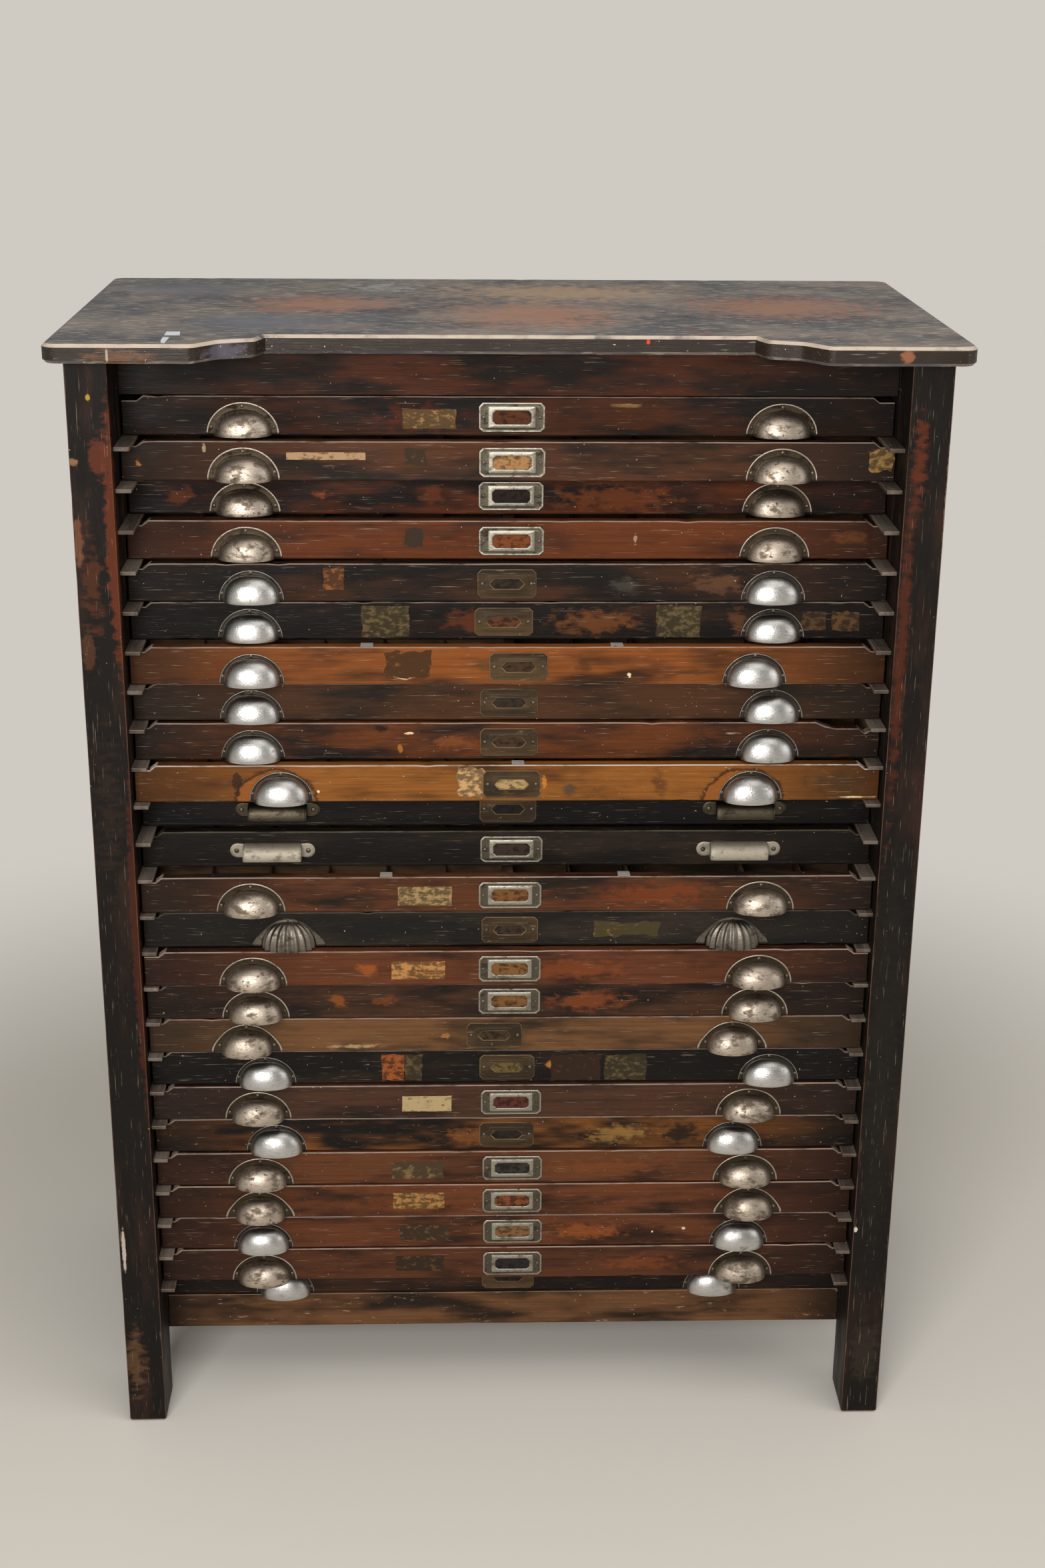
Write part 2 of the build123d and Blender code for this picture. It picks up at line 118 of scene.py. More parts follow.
def stained_wood(
    name, along, stain, body, bare, body_share, bare_share, seed,
    spots=(), ends=None, arris="#8a7263", upper_arris_highlight=True, edge=None, gloss=0.46, sheen=0.11,
    patch_size=(150, 34), speckle="#b9a58a", speck_share=0.3, planks=None,
):
    """Old stained softwood: dark stain over red-brown wood, bare where it is rubbed.

    The eye sees soft dark clouds a hand wide, faint streaks along the grain, thin pale
    scuffs, arrises rubbed pale, the upper ones also painted pale as a highlight, and a
    dull shine where hands have polished it."""
    finish, tree, shader = new_finish(name)
    streak, fibre, patch, chip, scuff = [3.0] * 3, [1.0] * 3, [patch_size[1]] * 3, [5.0] * 3, [1.1] * 3
    streak[along], fibre[along], patch[along], chip[along], scuff[along] = 170, 45, patch_size[0], 20, 34
    place = add(tree, "TexCoord").outputs
    axes = add(tree, "SeparateXYZ", {0: place["Object"]}).outputs
    up = add(tree, "SeparateXYZ", {0: place["Normal"]}).outputs["Z"]
    facing = add(tree, "VectorMath", {0: place["Normal"]}, operation="ABSOLUTE").outputs[0]
    facing = add(tree, "SeparateXYZ", {0: facing}).outputs
    worn = cloud(tree, patch, seed, 0.58 - 0.3 * body_share, 0.84 - 0.3 * body_share, 3.0)
    if ends:
        side = add(tree, "Math", {0: axes["X"]}, operation="ABSOLUTE").outputs[0]
        inward = {"Value": side, "From Min": ends[1] / 1000, "From Max": ends[0] / 1000, "To Min": 0.1}
        inward = add(tree, "MapRange", inward, interpolation_type="SMOOTHSTEP").outputs["Result"]
        worn = add(tree, "Math", {0: worn, 1: inward}, operation="MULTIPLY").outputs[0]
    colour = add(tree, "Mix", {0: worn, 6: linear(stain), 7: linear(body)}, data_type="RGBA").outputs[2]
    coats = [
        (cloud(tree, streak, seed + 3, 0.42, 0.7), stain, 0.35),
        (cloud(tree, fibre, seed + 5, 0.5, 0.75), stain, 0.25),
        (cloud(tree, (55, 20, 20), seed + 7, 0.5, 0.78, 5.0), stain, 0.75 - 0.45 * body_share),
        (cloud(tree, (38, 14, 14), seed + 8, 0.56, 0.8, 6.0), body, 0.4),
        (cloud(tree, chip, seed + 9, 0.72 - 0.2 * bare_share, 0.8 - 0.2 * bare_share, 6.0), bare, 0.6),
    ]
    if planks:
        first, width = planks
        board = add(tree, "Math", {0: axes["X"], 1: -first}, operation="ADD").outputs[0]
        board = add(tree, "Math", {0: board, 1: width}, operation="DIVIDE").outputs[0]
        which = add(tree, "Math", {0: board}, operation="FLOOR").outputs[0]
        shade = add(tree, "TexWhiteNoise", {"W": which}, noise_dimensions="1D").outputs["Value"]
        joint = add(tree, "Math", {0: board, 1: 1.0}, operation="PINGPONG").outputs[0]
        joint = add(tree, "MapRange", {"Value": joint, "From Min": 0.02, "From Max": 0.008}).outputs["Result"]
        coats += [(shade, stain, 0.6), (joint, "#120d0a", 0.85)]
    # Faces that do not face up take the edge shade; the lighter colours of upward faces are painted sheen.
    if edge:
        upright = add(tree, "MapRange", {"Value": facing["Z"], "From Min": 0.85, "From Max": 0.5}).outputs["Result"]
        coats.append((upright, edge, 1.0))
    coats += [(spot(tree, *where), shade, strength) for where, shade, strength in spots]
    flattest = add(tree, "Math", {0: facing["X"], 1: facing["Y"]}, operation="MAXIMUM").outputs[0]
    flattest = add(tree, "Math", {0: flattest, 1: facing["Z"]}, operation="MAXIMUM").outputs[0]
    corner = add(tree, "MapRange", {"Value": flattest, "From Min": 0.985, "From Max": 0.88}).outputs["Result"]
    # The arris coat is wear; where only upward-facing arrises take it, it is also a painted highlight.
    if upper_arris_highlight:
        above = add(tree, "MapRange", {"Value": up, "From Min": 0.2, "From Max": 0.45}).outputs["Result"]
        corner = add(tree, "Math", {0: corner, 1: above}, operation="MULTIPLY").outputs[0]
    rubbed = {0: corner, 1: cloud(tree, (40, 40, 40), seed + 13, 0.25, 0.55, 6.0)}
    coats.append((add(tree, "Math", rubbed, operation="MULTIPLY").outputs[0], arris, 0.85))
    coats.append((cloud(tree, scuff, seed + 15, 0.64, 0.78, 2.0), speckle, 0.35))
    fleck = 0.8 - 0.1 * speck_share
    coats.append((cloud(tree, (3.2, 3.2, 3.2), seed + 17, fleck, fleck + 0.03, 1.0), speckle, 0.6))
    for mask, shade, strength in coats:
        amount = add(tree, "Math", {0: mask, 1: strength}, operation="MULTIPLY").outputs[0]
        colour = add(tree, "Mix", {0: amount, 6: colour, 7: linear(shade)}, data_type="RGBA").outputs[2]
    tree.links.new(colour, shader.inputs["Base Color"])
    shader.inputs["Specular IOR Level"].default_value = sheen
    shine = {"Value": cloud(tree, patch, seed + 21, 0.3, 0.7), "To Min": gloss - 0.08, "To Max": gloss + 0.2}
    tree.links.new(add(tree, "MapRange", shine).outputs["Result"], shader.inputs["Roughness"])
    heights = {0: cloud(tree, fibre, seed + 5, 0.2, 0.8), 1: cloud(tree, chip, seed + 9, 0.3, 0.8)}
    relief = add(tree, "Math", heights, operation="ADD").outputs[0]
    bump = add(tree, "Bump", {"Height": relief, "Strength": 0.3, "Distance": 0.0005})
    tree.links.new(bump.outputs[0], shader.inputs["Normal"])
    return finish


def worn_copy(node, along, spacing, arris, dents, finish):
    """A CAD piece with its arrises rounded over and dented, standing for its node."""
    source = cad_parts[node]
    mesh = bpy.data.meshes.new(node + "_worn")
    shape = bmesh.new()
    shape.from_mesh(source.data)
    bmesh.ops.remove_doubles(shape, verts=shape.verts, dist=0.00001)
    bmesh.ops.dissolve_limit(shape, angle_limit=radians(1), verts=shape.verts, edges=shape.edges)
    low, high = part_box(node)
    direction = Vector([float(i == along) for i in range(3)])
    for i in range(1, int((high[along] - low[along]) / spacing)):
        level = Vector(low) + direction * i * spacing
        everything = shape.verts[:] + shape.edges[:] + shape.faces[:]
        bmesh.ops.bisect_plane(shape, geom=everything, plane_co=level, plane_no=direction, dist=0.00001)
    sharp = [e for e in shape.edges if e.is_manifold and e.calc_face_angle() > radians(25)]
    bmesh.ops.bevel(shape, geom=sharp, offset=arris, segments=2, profile=0.5, affect="EDGES", clamp_overlap=True)
    shape.normal_update()
    for v in shape.verts:
        depth = 0.5 + 0.5 * noise.noise(v.co * 28) + 2.5 * max(0.0, noise.noise(v.co * 70) - 0.3)
        v.co -= v.normal * depth * dents
    shape.to_mesh(mesh)
    shape.free()
    piece = bpy.data.objects.new(node + "_worn", mesh)
    bpy.context.scene.collection.objects.link(piece)
    finish_piece(piece, finish, "carcase")
    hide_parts(node)
    return piece


def finish_piece(piece, finish, body):
    """Gives a piece its finish or finishes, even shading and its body."""
    for one in finish if isinstance(finish, tuple) else (finish,):
        piece.data.materials.append(one)
    piece.data.shade_smooth()
    piece.modifiers.new("even faces", "WEIGHTED_NORMAL").keep_sharp = True
    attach(piece, body)


post_stain = stained_wood(
    "dark oil stain on softwood posts", 2, "#16120f", "#2f1e17", "#634230", 0.4, 0.15, 2.0,
    spots=[
        (((-417, -244, 1104), (12, 16, 170)), "#5c2a15", 0.8),
        (((-417, -244, 640), (9, 16, 220)), "#482012", 0.6),
        (((-430, -244, 1195), (12, 8, 26)), "#66301a", 0.6),
        (((-444, -244, 1060), (14, 10, 90), 1.2, 0.4), "#4d2a18", 0.7),
        (((-440, -244, 800), (20, 10, 120), 1.2, 0.5), "#2c2019", 0.6),
        (((-456, -244, 1190), (8, 6, 5)), "#8a6242", 0.8),
        (((-456, -244, 1103), (6, 10, 28)), "#6e4630", 0.7),
        (((-452, -244, 985), (8, 10, 26)), "#5a3824", 0.5),
        (((-437, -244, 1257), (3, 4, 4)), "#a08238", 1.0),
        (((-455, -244, 243), (2.5, 5, 33)), "#b9aca0", 0.8),
        (((-448, -244, 83), (16, 30, 56), 1.0, 0.4), "#5c402a", 0.7),
        (((430, -244, 1193), (12, 9, 60), 1.0, 0.4), "#5e2c18", 0.7),
        (((424, -244, 980), (8, 9, 240), 0.8, 0.4), "#4d2414", 0.7),
        (((461, -244, 1149), (2.5, 4, 100)), "#8d6a60", 0.6),
        (((440, -244, 90), (24, 30, 50), 0.8, 0.4), "#30281f", 0.7),
        (((438, -244, 470), (24, 30, 330), 0.8, 0.5), "#1d1a16", 0.75),
        (((419, -244, 262), (2.5, 4, 4)), "#c8beb0", 0.9),
    ],
    arris="#684636",
    upper_arris_highlight=False,
)
worn_copy("front_posts", 2, 0.018, 0.0022, 0.0004, post_stain)
worn_copy("rear_posts", 2, 0.03, 0.0018, 0.0003, post_stain)

# ---------------------------------------------------------------- side frames
# Three rails a side, tenoned between the posts, hold a thin panel in their rebates.
# They share the posts' stain, with the grain of the rails running front to back.
side_stain = stained_wood(
    "dark oil stain on side rails", 1, "#1c1512", "#3d2318", "#6b4127", 0.45, 0.25, 11.0, arris="#6b4534", upper_arris_highlight=False
)
panel_stain = stained_wood(
    "dark oil stain on thin panels", 2, "#1b1512", "#38221a", "#5f3b28", 0.45, 0.2, 14.0
)
worn_copy("side_rails", 1, 0.03, 0.0015, 0.0003, side_stain)
worn_copy("side_panels", 2, 0.05, 0.0008, 0.0002, panel_stain)

# ---------------------------------------------------------------- front rails
# The top rail closes the front above the first case. The bottom rail is kicked and
# rubbed: its middle is worn to bare orange wood, with a pale dusty lower edge.
top_rail_stain = stained_wood(
    "dark oil stain on the top rail", 0, "#15100d", "#46220f", "#6e4127", 0.55, 0.1, 21.0,
    spots=[
        (((25, -225, 1258), (150, 20, 14), 0.8, 0.4), "#55270f", 0.5),
        (((109, -225, 1265), (9, 20, 9)), "#7c6644", 0.6),
        (((-150, -225, 1246), (30, 20, 4)), "#7a3a1c", 0.7),
        (((-236, -225, 1262), (5, 20, 9)), "#5a4c38", 0.8),
    ],
    ends=(160, 400),
)
kicked_rail = stained_wood(
    "worn stain on the bottom rail", 0, "#241a12", "#66442a", "#a08468", 0.85, 0.45, 24.0,
    spots=[
        (((54, -225, 99), (420, 20, 8), 1.1, 0.35), "#ab967c", 0.8),
        (((0, -225, 112), (280, 20, 8), 1.6, 0.4), "#8a6a4c", 0.5),
        (((-331, -225, 118), (54, 20, 12), 1.0, 0.4), "#8a5528", 0.6),
    ],
    ends=(320, 414),
    arris="#a08a72",
)
worn_copy("top_front_rail", 0, 0.02, 0.0012, 0.0003, top_rail_stain)
worn_copy("bottom_front_rail", 0, 0.015, 0.0025, 0.0005, kicked_rail)

# ---------------------------------------------------------------- back
# Two rails cross the back, and upright softwood boards are nailed over them into the
# rebates of the rear posts. They were never stained, only darkened by age and dust.
BACK_BOARDS = 6
boards_low, boards_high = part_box("back_boards")
board_width = (boards_high[0] - boards_low[0]) / BACK_BOARDS
aged_softwood = stained_wood(
    "unstained softwood, aged", 2, "#4d3a2b", "#7a5d44", "#967657", 0.6, 0.3, 31.0,
    gloss=0.62,
    patch_size=(260, 40),
    planks=(boards_low[0], board_width),
)
worn_copy("back_rails", 0, 0.05, 0.0012, 0.0003, side_stain)
worn_copy("back_boards", 2, 0.04, 0.002, 0.0003, aged_softwood)


def plated_steel(name, bright, tarnish, dirt, tarnish_share, dirt_share, rough, seed, metallic=1.0, painted_dark_top=0.0):
    """Nickelled sheet steel: bright where it is rubbed, brown and crusted where not.

    The last argument paints a pull browner and darker towards its top: painted
    shade that stands for the dark reflection on the top of a dome."""
    finish, tree, shader = new_finish(name)
    brown = cloud(tree, (15, 15, 9), seed, 0.66 - 0.3 * tarnish_share, 0.84 - 0.3 * tarnish_share, 5.0)
    crust = cloud(tree, (6, 6, 4), seed + 4, 0.72 - 0.25 * dirt_share, 0.8 - 0.25 * dirt_share, 6.0)
    scuff = cloud(tree, (7, 7, 1.2), seed + 6, 0.4, 0.75, 5.0)
    coats = [(brown, tarnish, 0.85), (scuff, tarnish, 0.35), (crust, dirt, 0.9)]
    # Painted shade: the pull is browner towards its top.
    if painted_dark_top:
        height = add(tree, "SeparateXYZ", {0: add(tree, "TexCoord").outputs["Generated"]}).outputs["Z"]
        height = {"Value": height, "From Min": 0.3, "From Max": 0.9}
        height = add(tree, "MapRange", height, interpolation_type="SMOOTHSTEP").outputs["Result"]
        coats.insert(0, (height, tarnish, painted_dark_top))
    colour = linear(bright)
    for mask, shade, strength in coats:
        amount = add(tree, "Math", {0: mask, 1: strength}, operation="MULTIPLY").outputs[0]
        colour = add(tree, "Mix", {0: amount, 6: colour, 7: linear(shade)}, data_type="RGBA").outputs[2]
    tree.links.new(colour, shader.inputs["Base Color"])
    dull = add(tree, "Math", {0: brown, 1: crust}, operation="MAXIMUM").outputs[0]
    rough_range = {"Value": dull, "To Min": rough, "To Max": rough + 0.22}
    tree.links.new(add(tree, "MapRange", rough_range).outputs["Result"], shader.inputs["Roughness"])
    metal = {"Value": crust, "To Min": metallic, "To Max": 0.3}
    tree.links.new(add(tree, "MapRange", metal).outputs["Result"], shader.inputs["Metallic"])
    pits = cloud(tree, (1.6, 1.6, 1.6), seed + 8, 0.3, 0.8)
    relief = add(tree, "Math", {0: crust, 1: pits}, operation="ADD").outputs[0]
    bump = add(tree, "Bump", {"Height": relief, "Strength": 0.3, "Distance": 0.0003})
    tree.links.new(bump.outputs[0], shader.inputs["Normal"])
    return finish


rusted_nail = plated_steel("iron nails, rusted", "#5c5048", "#45301f", "#2a1c12", 0.7, 0.5, 0.55, 5.0, metallic=0.7)


def pin_head(shape, x, y, z, radius):
    """A small domed nail head pointing forwards."""
    spin = Matrix.Translation((x, y, z)) @ Matrix.Diagonal((radius, radius * 0.5, radius, 1))
    bmesh.ops.create_uvsphere(shape, u_segments=12, v_segments=8, radius=1.0, matrix=spin)


def finished_mesh(shape, name):
    """The shape as a mesh with its normals outwards."""
    bmesh.ops.remove_doubles(shape, verts=shape.verts, dist=0.000005)
    bmesh.ops.recalc_face_normals(shape, faces=shape.faces)
    mesh = bpy.data.meshes.new(name)
    shape.to_mesh(mesh)
    shape.free()
    return mesh


nails = bmesh.new()
for rail_z in (0.114, 1.262):
    for i in range(BACK_BOARDS):
        for share in (0.2, 0.8):
            x = boards_low[0] + (i + share) * board_width
            pin_head(nails, x + 0.004 * sin(7 * i + 20 * share), boards_high[1], rail_z, 0.0034)
piece = bpy.data.objects.new("back_nails", finished_mesh(nails, "back nails"))
bpy.context.scene.collection.objects.link(piece)
finish_piece(piece, rusted_nail, "carcase")

# ---------------------------------------------------------------- runners
# Thin beech strips let into the side frames carry the cases. Their front ends are
# worn bare and grey by the cases that have been pushed in over them.
bare_beech = stained_wood(
    "bare beech, worn grey", 1, "#443b33", "#6e6359", "#8f857b", 0.7, 0.4, 41.0, gloss=0.5
)
worn_copy("runners", 1, 0.02, 0.0008, 0.0002, bare_beech)

# ---------------------------------------------------------------- top
# One thick board, its arrises rounded over by a century of elbows and rubbed pale, the
# upper ones also with a painted highlight. The black finish is still dark on the edges;
# on top it is worn to red-brown and grey, the grey lightened as painted sheen.
top_stain_and_sheen = stained_wood(
    "worn black finish on the top, painted with sheen", 0, "#5e5d60", "#93867b", "#c9bcac", 0.62, 0.9, 51.0,
    spots=[
        # The bluish and purplish grey patches are painted sheen; the red-brown ones are wear.
        (((-260, -110, 1315), (110, 70, 9), 0.8, 0.45), "#74747f", 0.85),
        (((-212, 36, 1315), (105, 85, 9), 0.8, 0.45), "#b07a60", 0.85),
        (((29, -44, 1315), (131, 130, 9), 0.8, 0.45), "#b5846a", 0.85),
        (((60, 140, 1315), (170, 90, 9), 0.8, 0.45), "#bd9d80", 0.85),
        (((317, 25, 1315), (142, 112, 9), 0.8, 0.45), "#ad7c62", 0.85),
        (((-380, 160, 1315), (90, 90, 9), 0.8, 0.45), "#73737a", 0.85),
        (((-130, -20, 1315), (60, 30, 9), 1.0, 0.3), "#444348", 0.6),
        (((180, -60, 1315), (50, 50, 9), 1.0, 0.3), "#3e3e46", 0.7),
        (((-145, 180, 1315), (70, 50, 9), 1.2, 0.3), "#cfcac0", 0.4),
        (((60, -212, 1308), (120, 4, 5), 1.2, 0.4), "#80664a", 0.5),
        (((144, -196, 1309), (2.5, 5, 4)), "#d13a1e", 1.0),
        (((200, -170, 1315), (40, 26, 9), 1.4, 0.3), "#a8604a", 0.5),
        (((-400, -264, 1301), (50, 14, 10), 0.8, 0.3), "#5e3c22", 0.85),
        (((-300, -230, 1303), (34, 30, 12), 0.6, 0.3), "#615c68", 0.6),
        (((406, -264, 1305), (9, 6, 8)), "#8f5a3c", 0.8),
        (((-412, -264, 1304), (1.5, 8, 8)), "#a89a8c", 0.8),
    ],
    gloss=0.36,
    sheen=0.25,
    patch_size=(110, 80),
    arris="#cbb9a6",
    edge="#2a2018",
    speckle="#ddd6ca",
    speck_share=0.4,
)
worn_copy("top_board", 0, 0.012, 0.0016, 0.0005, top_stain_and_sheen)

# ---------------------------------------------------------------- cases
# Each case is a shallow tray: a front with its top corners cut away to pass the
# runners, two sides, a back, a thin floor, and the dividers of its compartments.
# The fronts were stained at different times, so each has its own shade.

FRONT_THICK = 0.014
SIDE_THICK = 0.010
BACK_THICK = 0.010
FLOOR_THICK = 0.0035
FRONT_HEIGHT = 0.0432
SIDE_TOP = 0.03665
CORNER_CUT = 0.00535
CORNER_CUT_WIDTH = 0.01705
CORNER_CUT_SLOPE = 0.007
CENTRE_BAR = 0.012
DIVIDER_THICK = 0.003
THIN_DIVIDER = 0.0016
DIVIDER_TOP = SIDE_TOP - 0.006

# For each case from the top down: its pull and the pulls' places left and right of
# the middle, its label holder and that holder's place, the card in its window, and
# the stain, the worn body, the bare wood and how far each shows.
CASES = [
    ("cup", -286, 293, "bright", 2, "#4f2a14", "#15100d", "#44220f", "#80502c", 0.65, 0.08),
    ("cup", -285, 292, "bright", 2, "#9a7046", "#1e1712", "#4d2d1a", "#8d603a", 0.85, 0.15),
    ("cup", -288, 294, "bright", 2, "#241a14", "#160f0c", "#582910", "#8d4c22", 0.62, 0.12),
    ("cup", -286, 290, "bright", 2, "#6e3a18", "#2a180f", "#5e2f14", "#8d5a34", 1.05, 0.12),
    ("small_cup", -281, 289, "painted", -3, "#2c2017", "#16110e", "#3f2515", "#804624", 0.6, 0.15),
    ("small_cup", -284, 291, "painted", -6, "#55301c", "#130f0d", "#342013", "#7a4a2a", 0.4, 0.12),
    ("small_cup", -282, 270, "painted", 10, "#3a2816", "#2f1c0e", "#7e451b", "#b0703a", 1.0, 0.22),
    ("small_cup", -284, 292, "painted", 0, "#2c2118", "#201811", "#472b18", "#75492a", 0.85, 0.12),
    ("small_cup", -284, 289, "painted", 0, "#3d2a18", "#1a130f", "#5c3014", "#8a5528", 0.8, 0.15),
    ("small_cup", -253, 270, "painted", 3, "#a08456", "#3f240e", "#84501f", "#a86e34", 1.05, 0.2),
    ("hood", -261, 270, "painted", 0, "#17130f", "#110e0c", "#201810", "#463220", 0.4, 0.05),
    ("hood", -267, 263, "bright", 4, "#33251c", "#15110e", "#291f17", "#6b523a", 0.5, 0.08),
    ("cup", -291, 287, "bright", 2, "#6b4420", "#1d1510", "#542f19", "#80502e", 0.9, 0.1),
    ("shell", -250, 257, "painted", 2, "#33241a", "#181512", "#2d251e", "#665646", 0.5, 0.1),
    ("cup", -291, 288, "bright", 2, "#6e4a24", "#1e130e", "#5a311b", "#80502f", 1.0, 0.1),
    ("cup", -290, 287, "bright", 2, "#6b4824", "#19120e", "#432a1b", "#75492c", 0.8, 0.08),
    ("cup", -302, 263, "painted", -15, "#3a2a1a", "#2b2016", "#68462a", "#907048", 1.0, 0.18),
    ("small_cup", -282, 308, "painted", 0, "#5c4c28", "#120f0d", "#2b1e14", "#80542c", 0.4, 0.12),
    ("cup", -292, 286, "bright", 5, "#4f2418", "#201713", "#452c1e", "#754c30", 0.9, 0.08),
    ("small_cup", -272, 269, "painted", 0, "#21170f", "#15100d", "#70431d", "#a86a34", 0.7, 0.25),
    ("cup", -292, 286, "bright", 7, "#2e2822", "#231510", "#5a341d", "#805032", 1.0, 0.1),
    ("cup", -294, 291, "bright", 7, "#6e3c1e", "#1e130e", "#5e341d", "#845434", 1.0, 0.1),
    ("small_cup", -292, 282, "bright", 8, "#705030", "#231510", "#5a321c", "#805034", 0.95, 0.08),
    ("cup", -292, 286, "bright", 8, "#201b18", "#1d130f", "#502d1a", "#7a4a2c", 0.95, 0.08),
    ("small_cup", -271, 257, "painted", 4, "#221a14", "#17110e", "#382317", "#634028", 0.6, 0.06),
]

# The marks that use has left on single fronts, by case: the place across and up from
# the underside and the half width and half height, in millimetres, the shade, and how
# strongly it shows: glows of red-brown wood, dark stains, pale chips and scratches.
MARKS = {
    1: [(-100, 20, 60, 18, "#551f0c", 0.6), (129, 34, 24, 3, "#8a6a44", 0.6)],
    2: [(-326, 35, 3, 6, "#a08a6a", 0.8), (-397, 20, 6, 5, "#a0662a", 0.8)],
    3: [
        (-205, 22, 13, 8, "#8a4520", 0.8), (-357, 20, 22, 12, "#5e2f15", 0.7), (-85, 22, 18, 13, "#603014", 0.7),
        (116, 18, 90, 20, "#6b3514", 0.65),
    ],
    4: [(137, 22, 3, 10, "#b09070", 0.6), (370, 24, 30, 9, "#70401f", 0.45)],
    5: [(229, 22, 38, 15, "#5c3c28", 0.7), (126, 18, 18, 14, "#47443c", 0.5)],
    6: [(95, 20, 60, 20, "#63391a", 0.8), (252, 20, 13, 20, "#5f3c24", 0.6), (-40, 20, 40, 18, "#5a2c16", 0.7)],
    7: [
        (-115, 8, 12, 4, "#d8c090", 0.8), (132, 10, 3, 4, "#e0c8a0", 0.9), (81, 20, 10, 16, "#3f2410", 0.6),
        (-320, 20, 40, 20, "#5c300f", 0.6), (-20, 22, 24, 16, "#4d3418", 0.6),
    ],
    9: [
        (-142, 36, 18, 6, "#17100b", 0.9), (-110, 31, 7, 2, "#d8b88a", 0.9), (-121, 14, 4, 8, "#a8682c", 0.7),
        (247, 30, 12, 2, "#a89078", 0.6), (-60, 20, 30, 12, "#7a4420", 0.6),
    ],
    10: [
        (-302, 24, 8, 18, "#2b1a0d", 0.8), (-212, 12, 2, 2, "#e0cfa8", 0.9), (69, 14, 11, 9, "#40382a", 0.8),
        (168, 20, 12, 22, "#4a2c14", 0.7), (370, 22, 48, 20, "#3a2a18", 0.7), (390, 4, 28, 1.5, "#d8c090", 0.8),
        (39, 22, 5, 17, "#b4712f", 0.8),
    ],
    13: [(165, 20, 75, 18, "#703416", 0.6)],
    15: [(-161, 20, 14, 10, "#8a4a20", 0.8), (75, 20, 80, 18, "#74391a", 0.6), (-310, 20, 50, 20, "#33221a", 0.5)],
    16: [(-195, 22, 13, 9, "#7a4218", 0.8), (-142, 22, 20, 8, "#6b3a18", 0.7), (95, 20, 60, 16, "#70381a", 0.75)],
    17: [(-178, 7, 34, 4, "#a88a60", 0.8), (-70, 20, 8, 8, "#9a6430", 0.7), (-20, 20, 60, 20, "#4a3420", 0.6)],
    18: [(52, 22, 9, 7, "#a0662c", 0.85), (88, 18, 9, 10, "#96602c", 0.8), (140, 22, 12, 12, "#8a5a2c", 0.6)],
    20: [(128, 20, 50, 14, "#8a6634", 0.65), (207, 20, 28, 18, "#15100c", 0.85), (-30, 20, 60, 16, "#7a4820", 0.6)],
    21: [(120, 20, 90, 14, "#6e3c1c", 0.5)],
    22: [(-100, 18, 120, 14, "#653618", 0.5)],
    23: [
        (93, 20, 55, 14, "#80441c", 0.75), (179, 16, 26, 14, "#2a1a10", 0.7), (177, 18, 2, 2, "#d8c8a0", 0.9),
        (215, 22, 3, 2.5, "#d0bc90", 0.9),
    ],
    24: [(165, 20, 60, 14, "#70391a", 0.6)],
}

# The upper arris of a front is rubbed pale and also painted pale as a highlight,
# unless this gives its shade.
ARRIS_WEAR_AND_HIGHLIGHT = {10: "#c2b4a8", 11: "#4a3f33", 12: "#57503f", 14: "#5a5046"}

# On one front, larger pulls have left their outline in the varnish round the new ones.
GHOST_CENTRES = (-259, 262)
GHOST_COATS = ((47, "#2b1a0d", 0.8), (43, "#8a4f1e", 0.85))

bare_tray, bare_tray_sides = [
    stained_wood(
        f"unstained tray wood, inked, {run}", along, "#3b2d22", "#6d543c", "#8a6f52", 0.6, 0.25, 61.0, gloss=0.6
    )
    for run, along in (("across", 0), ("front to back", 1))
]


def mesh_piece(name, points, faces):
    """A new piece from its points and faces, with its normals outwards."""
    mesh = bpy.data.meshes.new(name)
    shape = bmesh.new()
    corners = [shape.verts.new(p) for p in points]
    for face in faces:
        shape.faces.new([corners[i] for i in face])
    bmesh.ops.recalc_face_normals(shape, faces=shape.faces)
    shape.to_mesh(mesh)
    shape.free()
    piece = bpy.data.objects.new(name, mesh)
    bpy.context.scene.collection.objects.link(piece)
    return piece


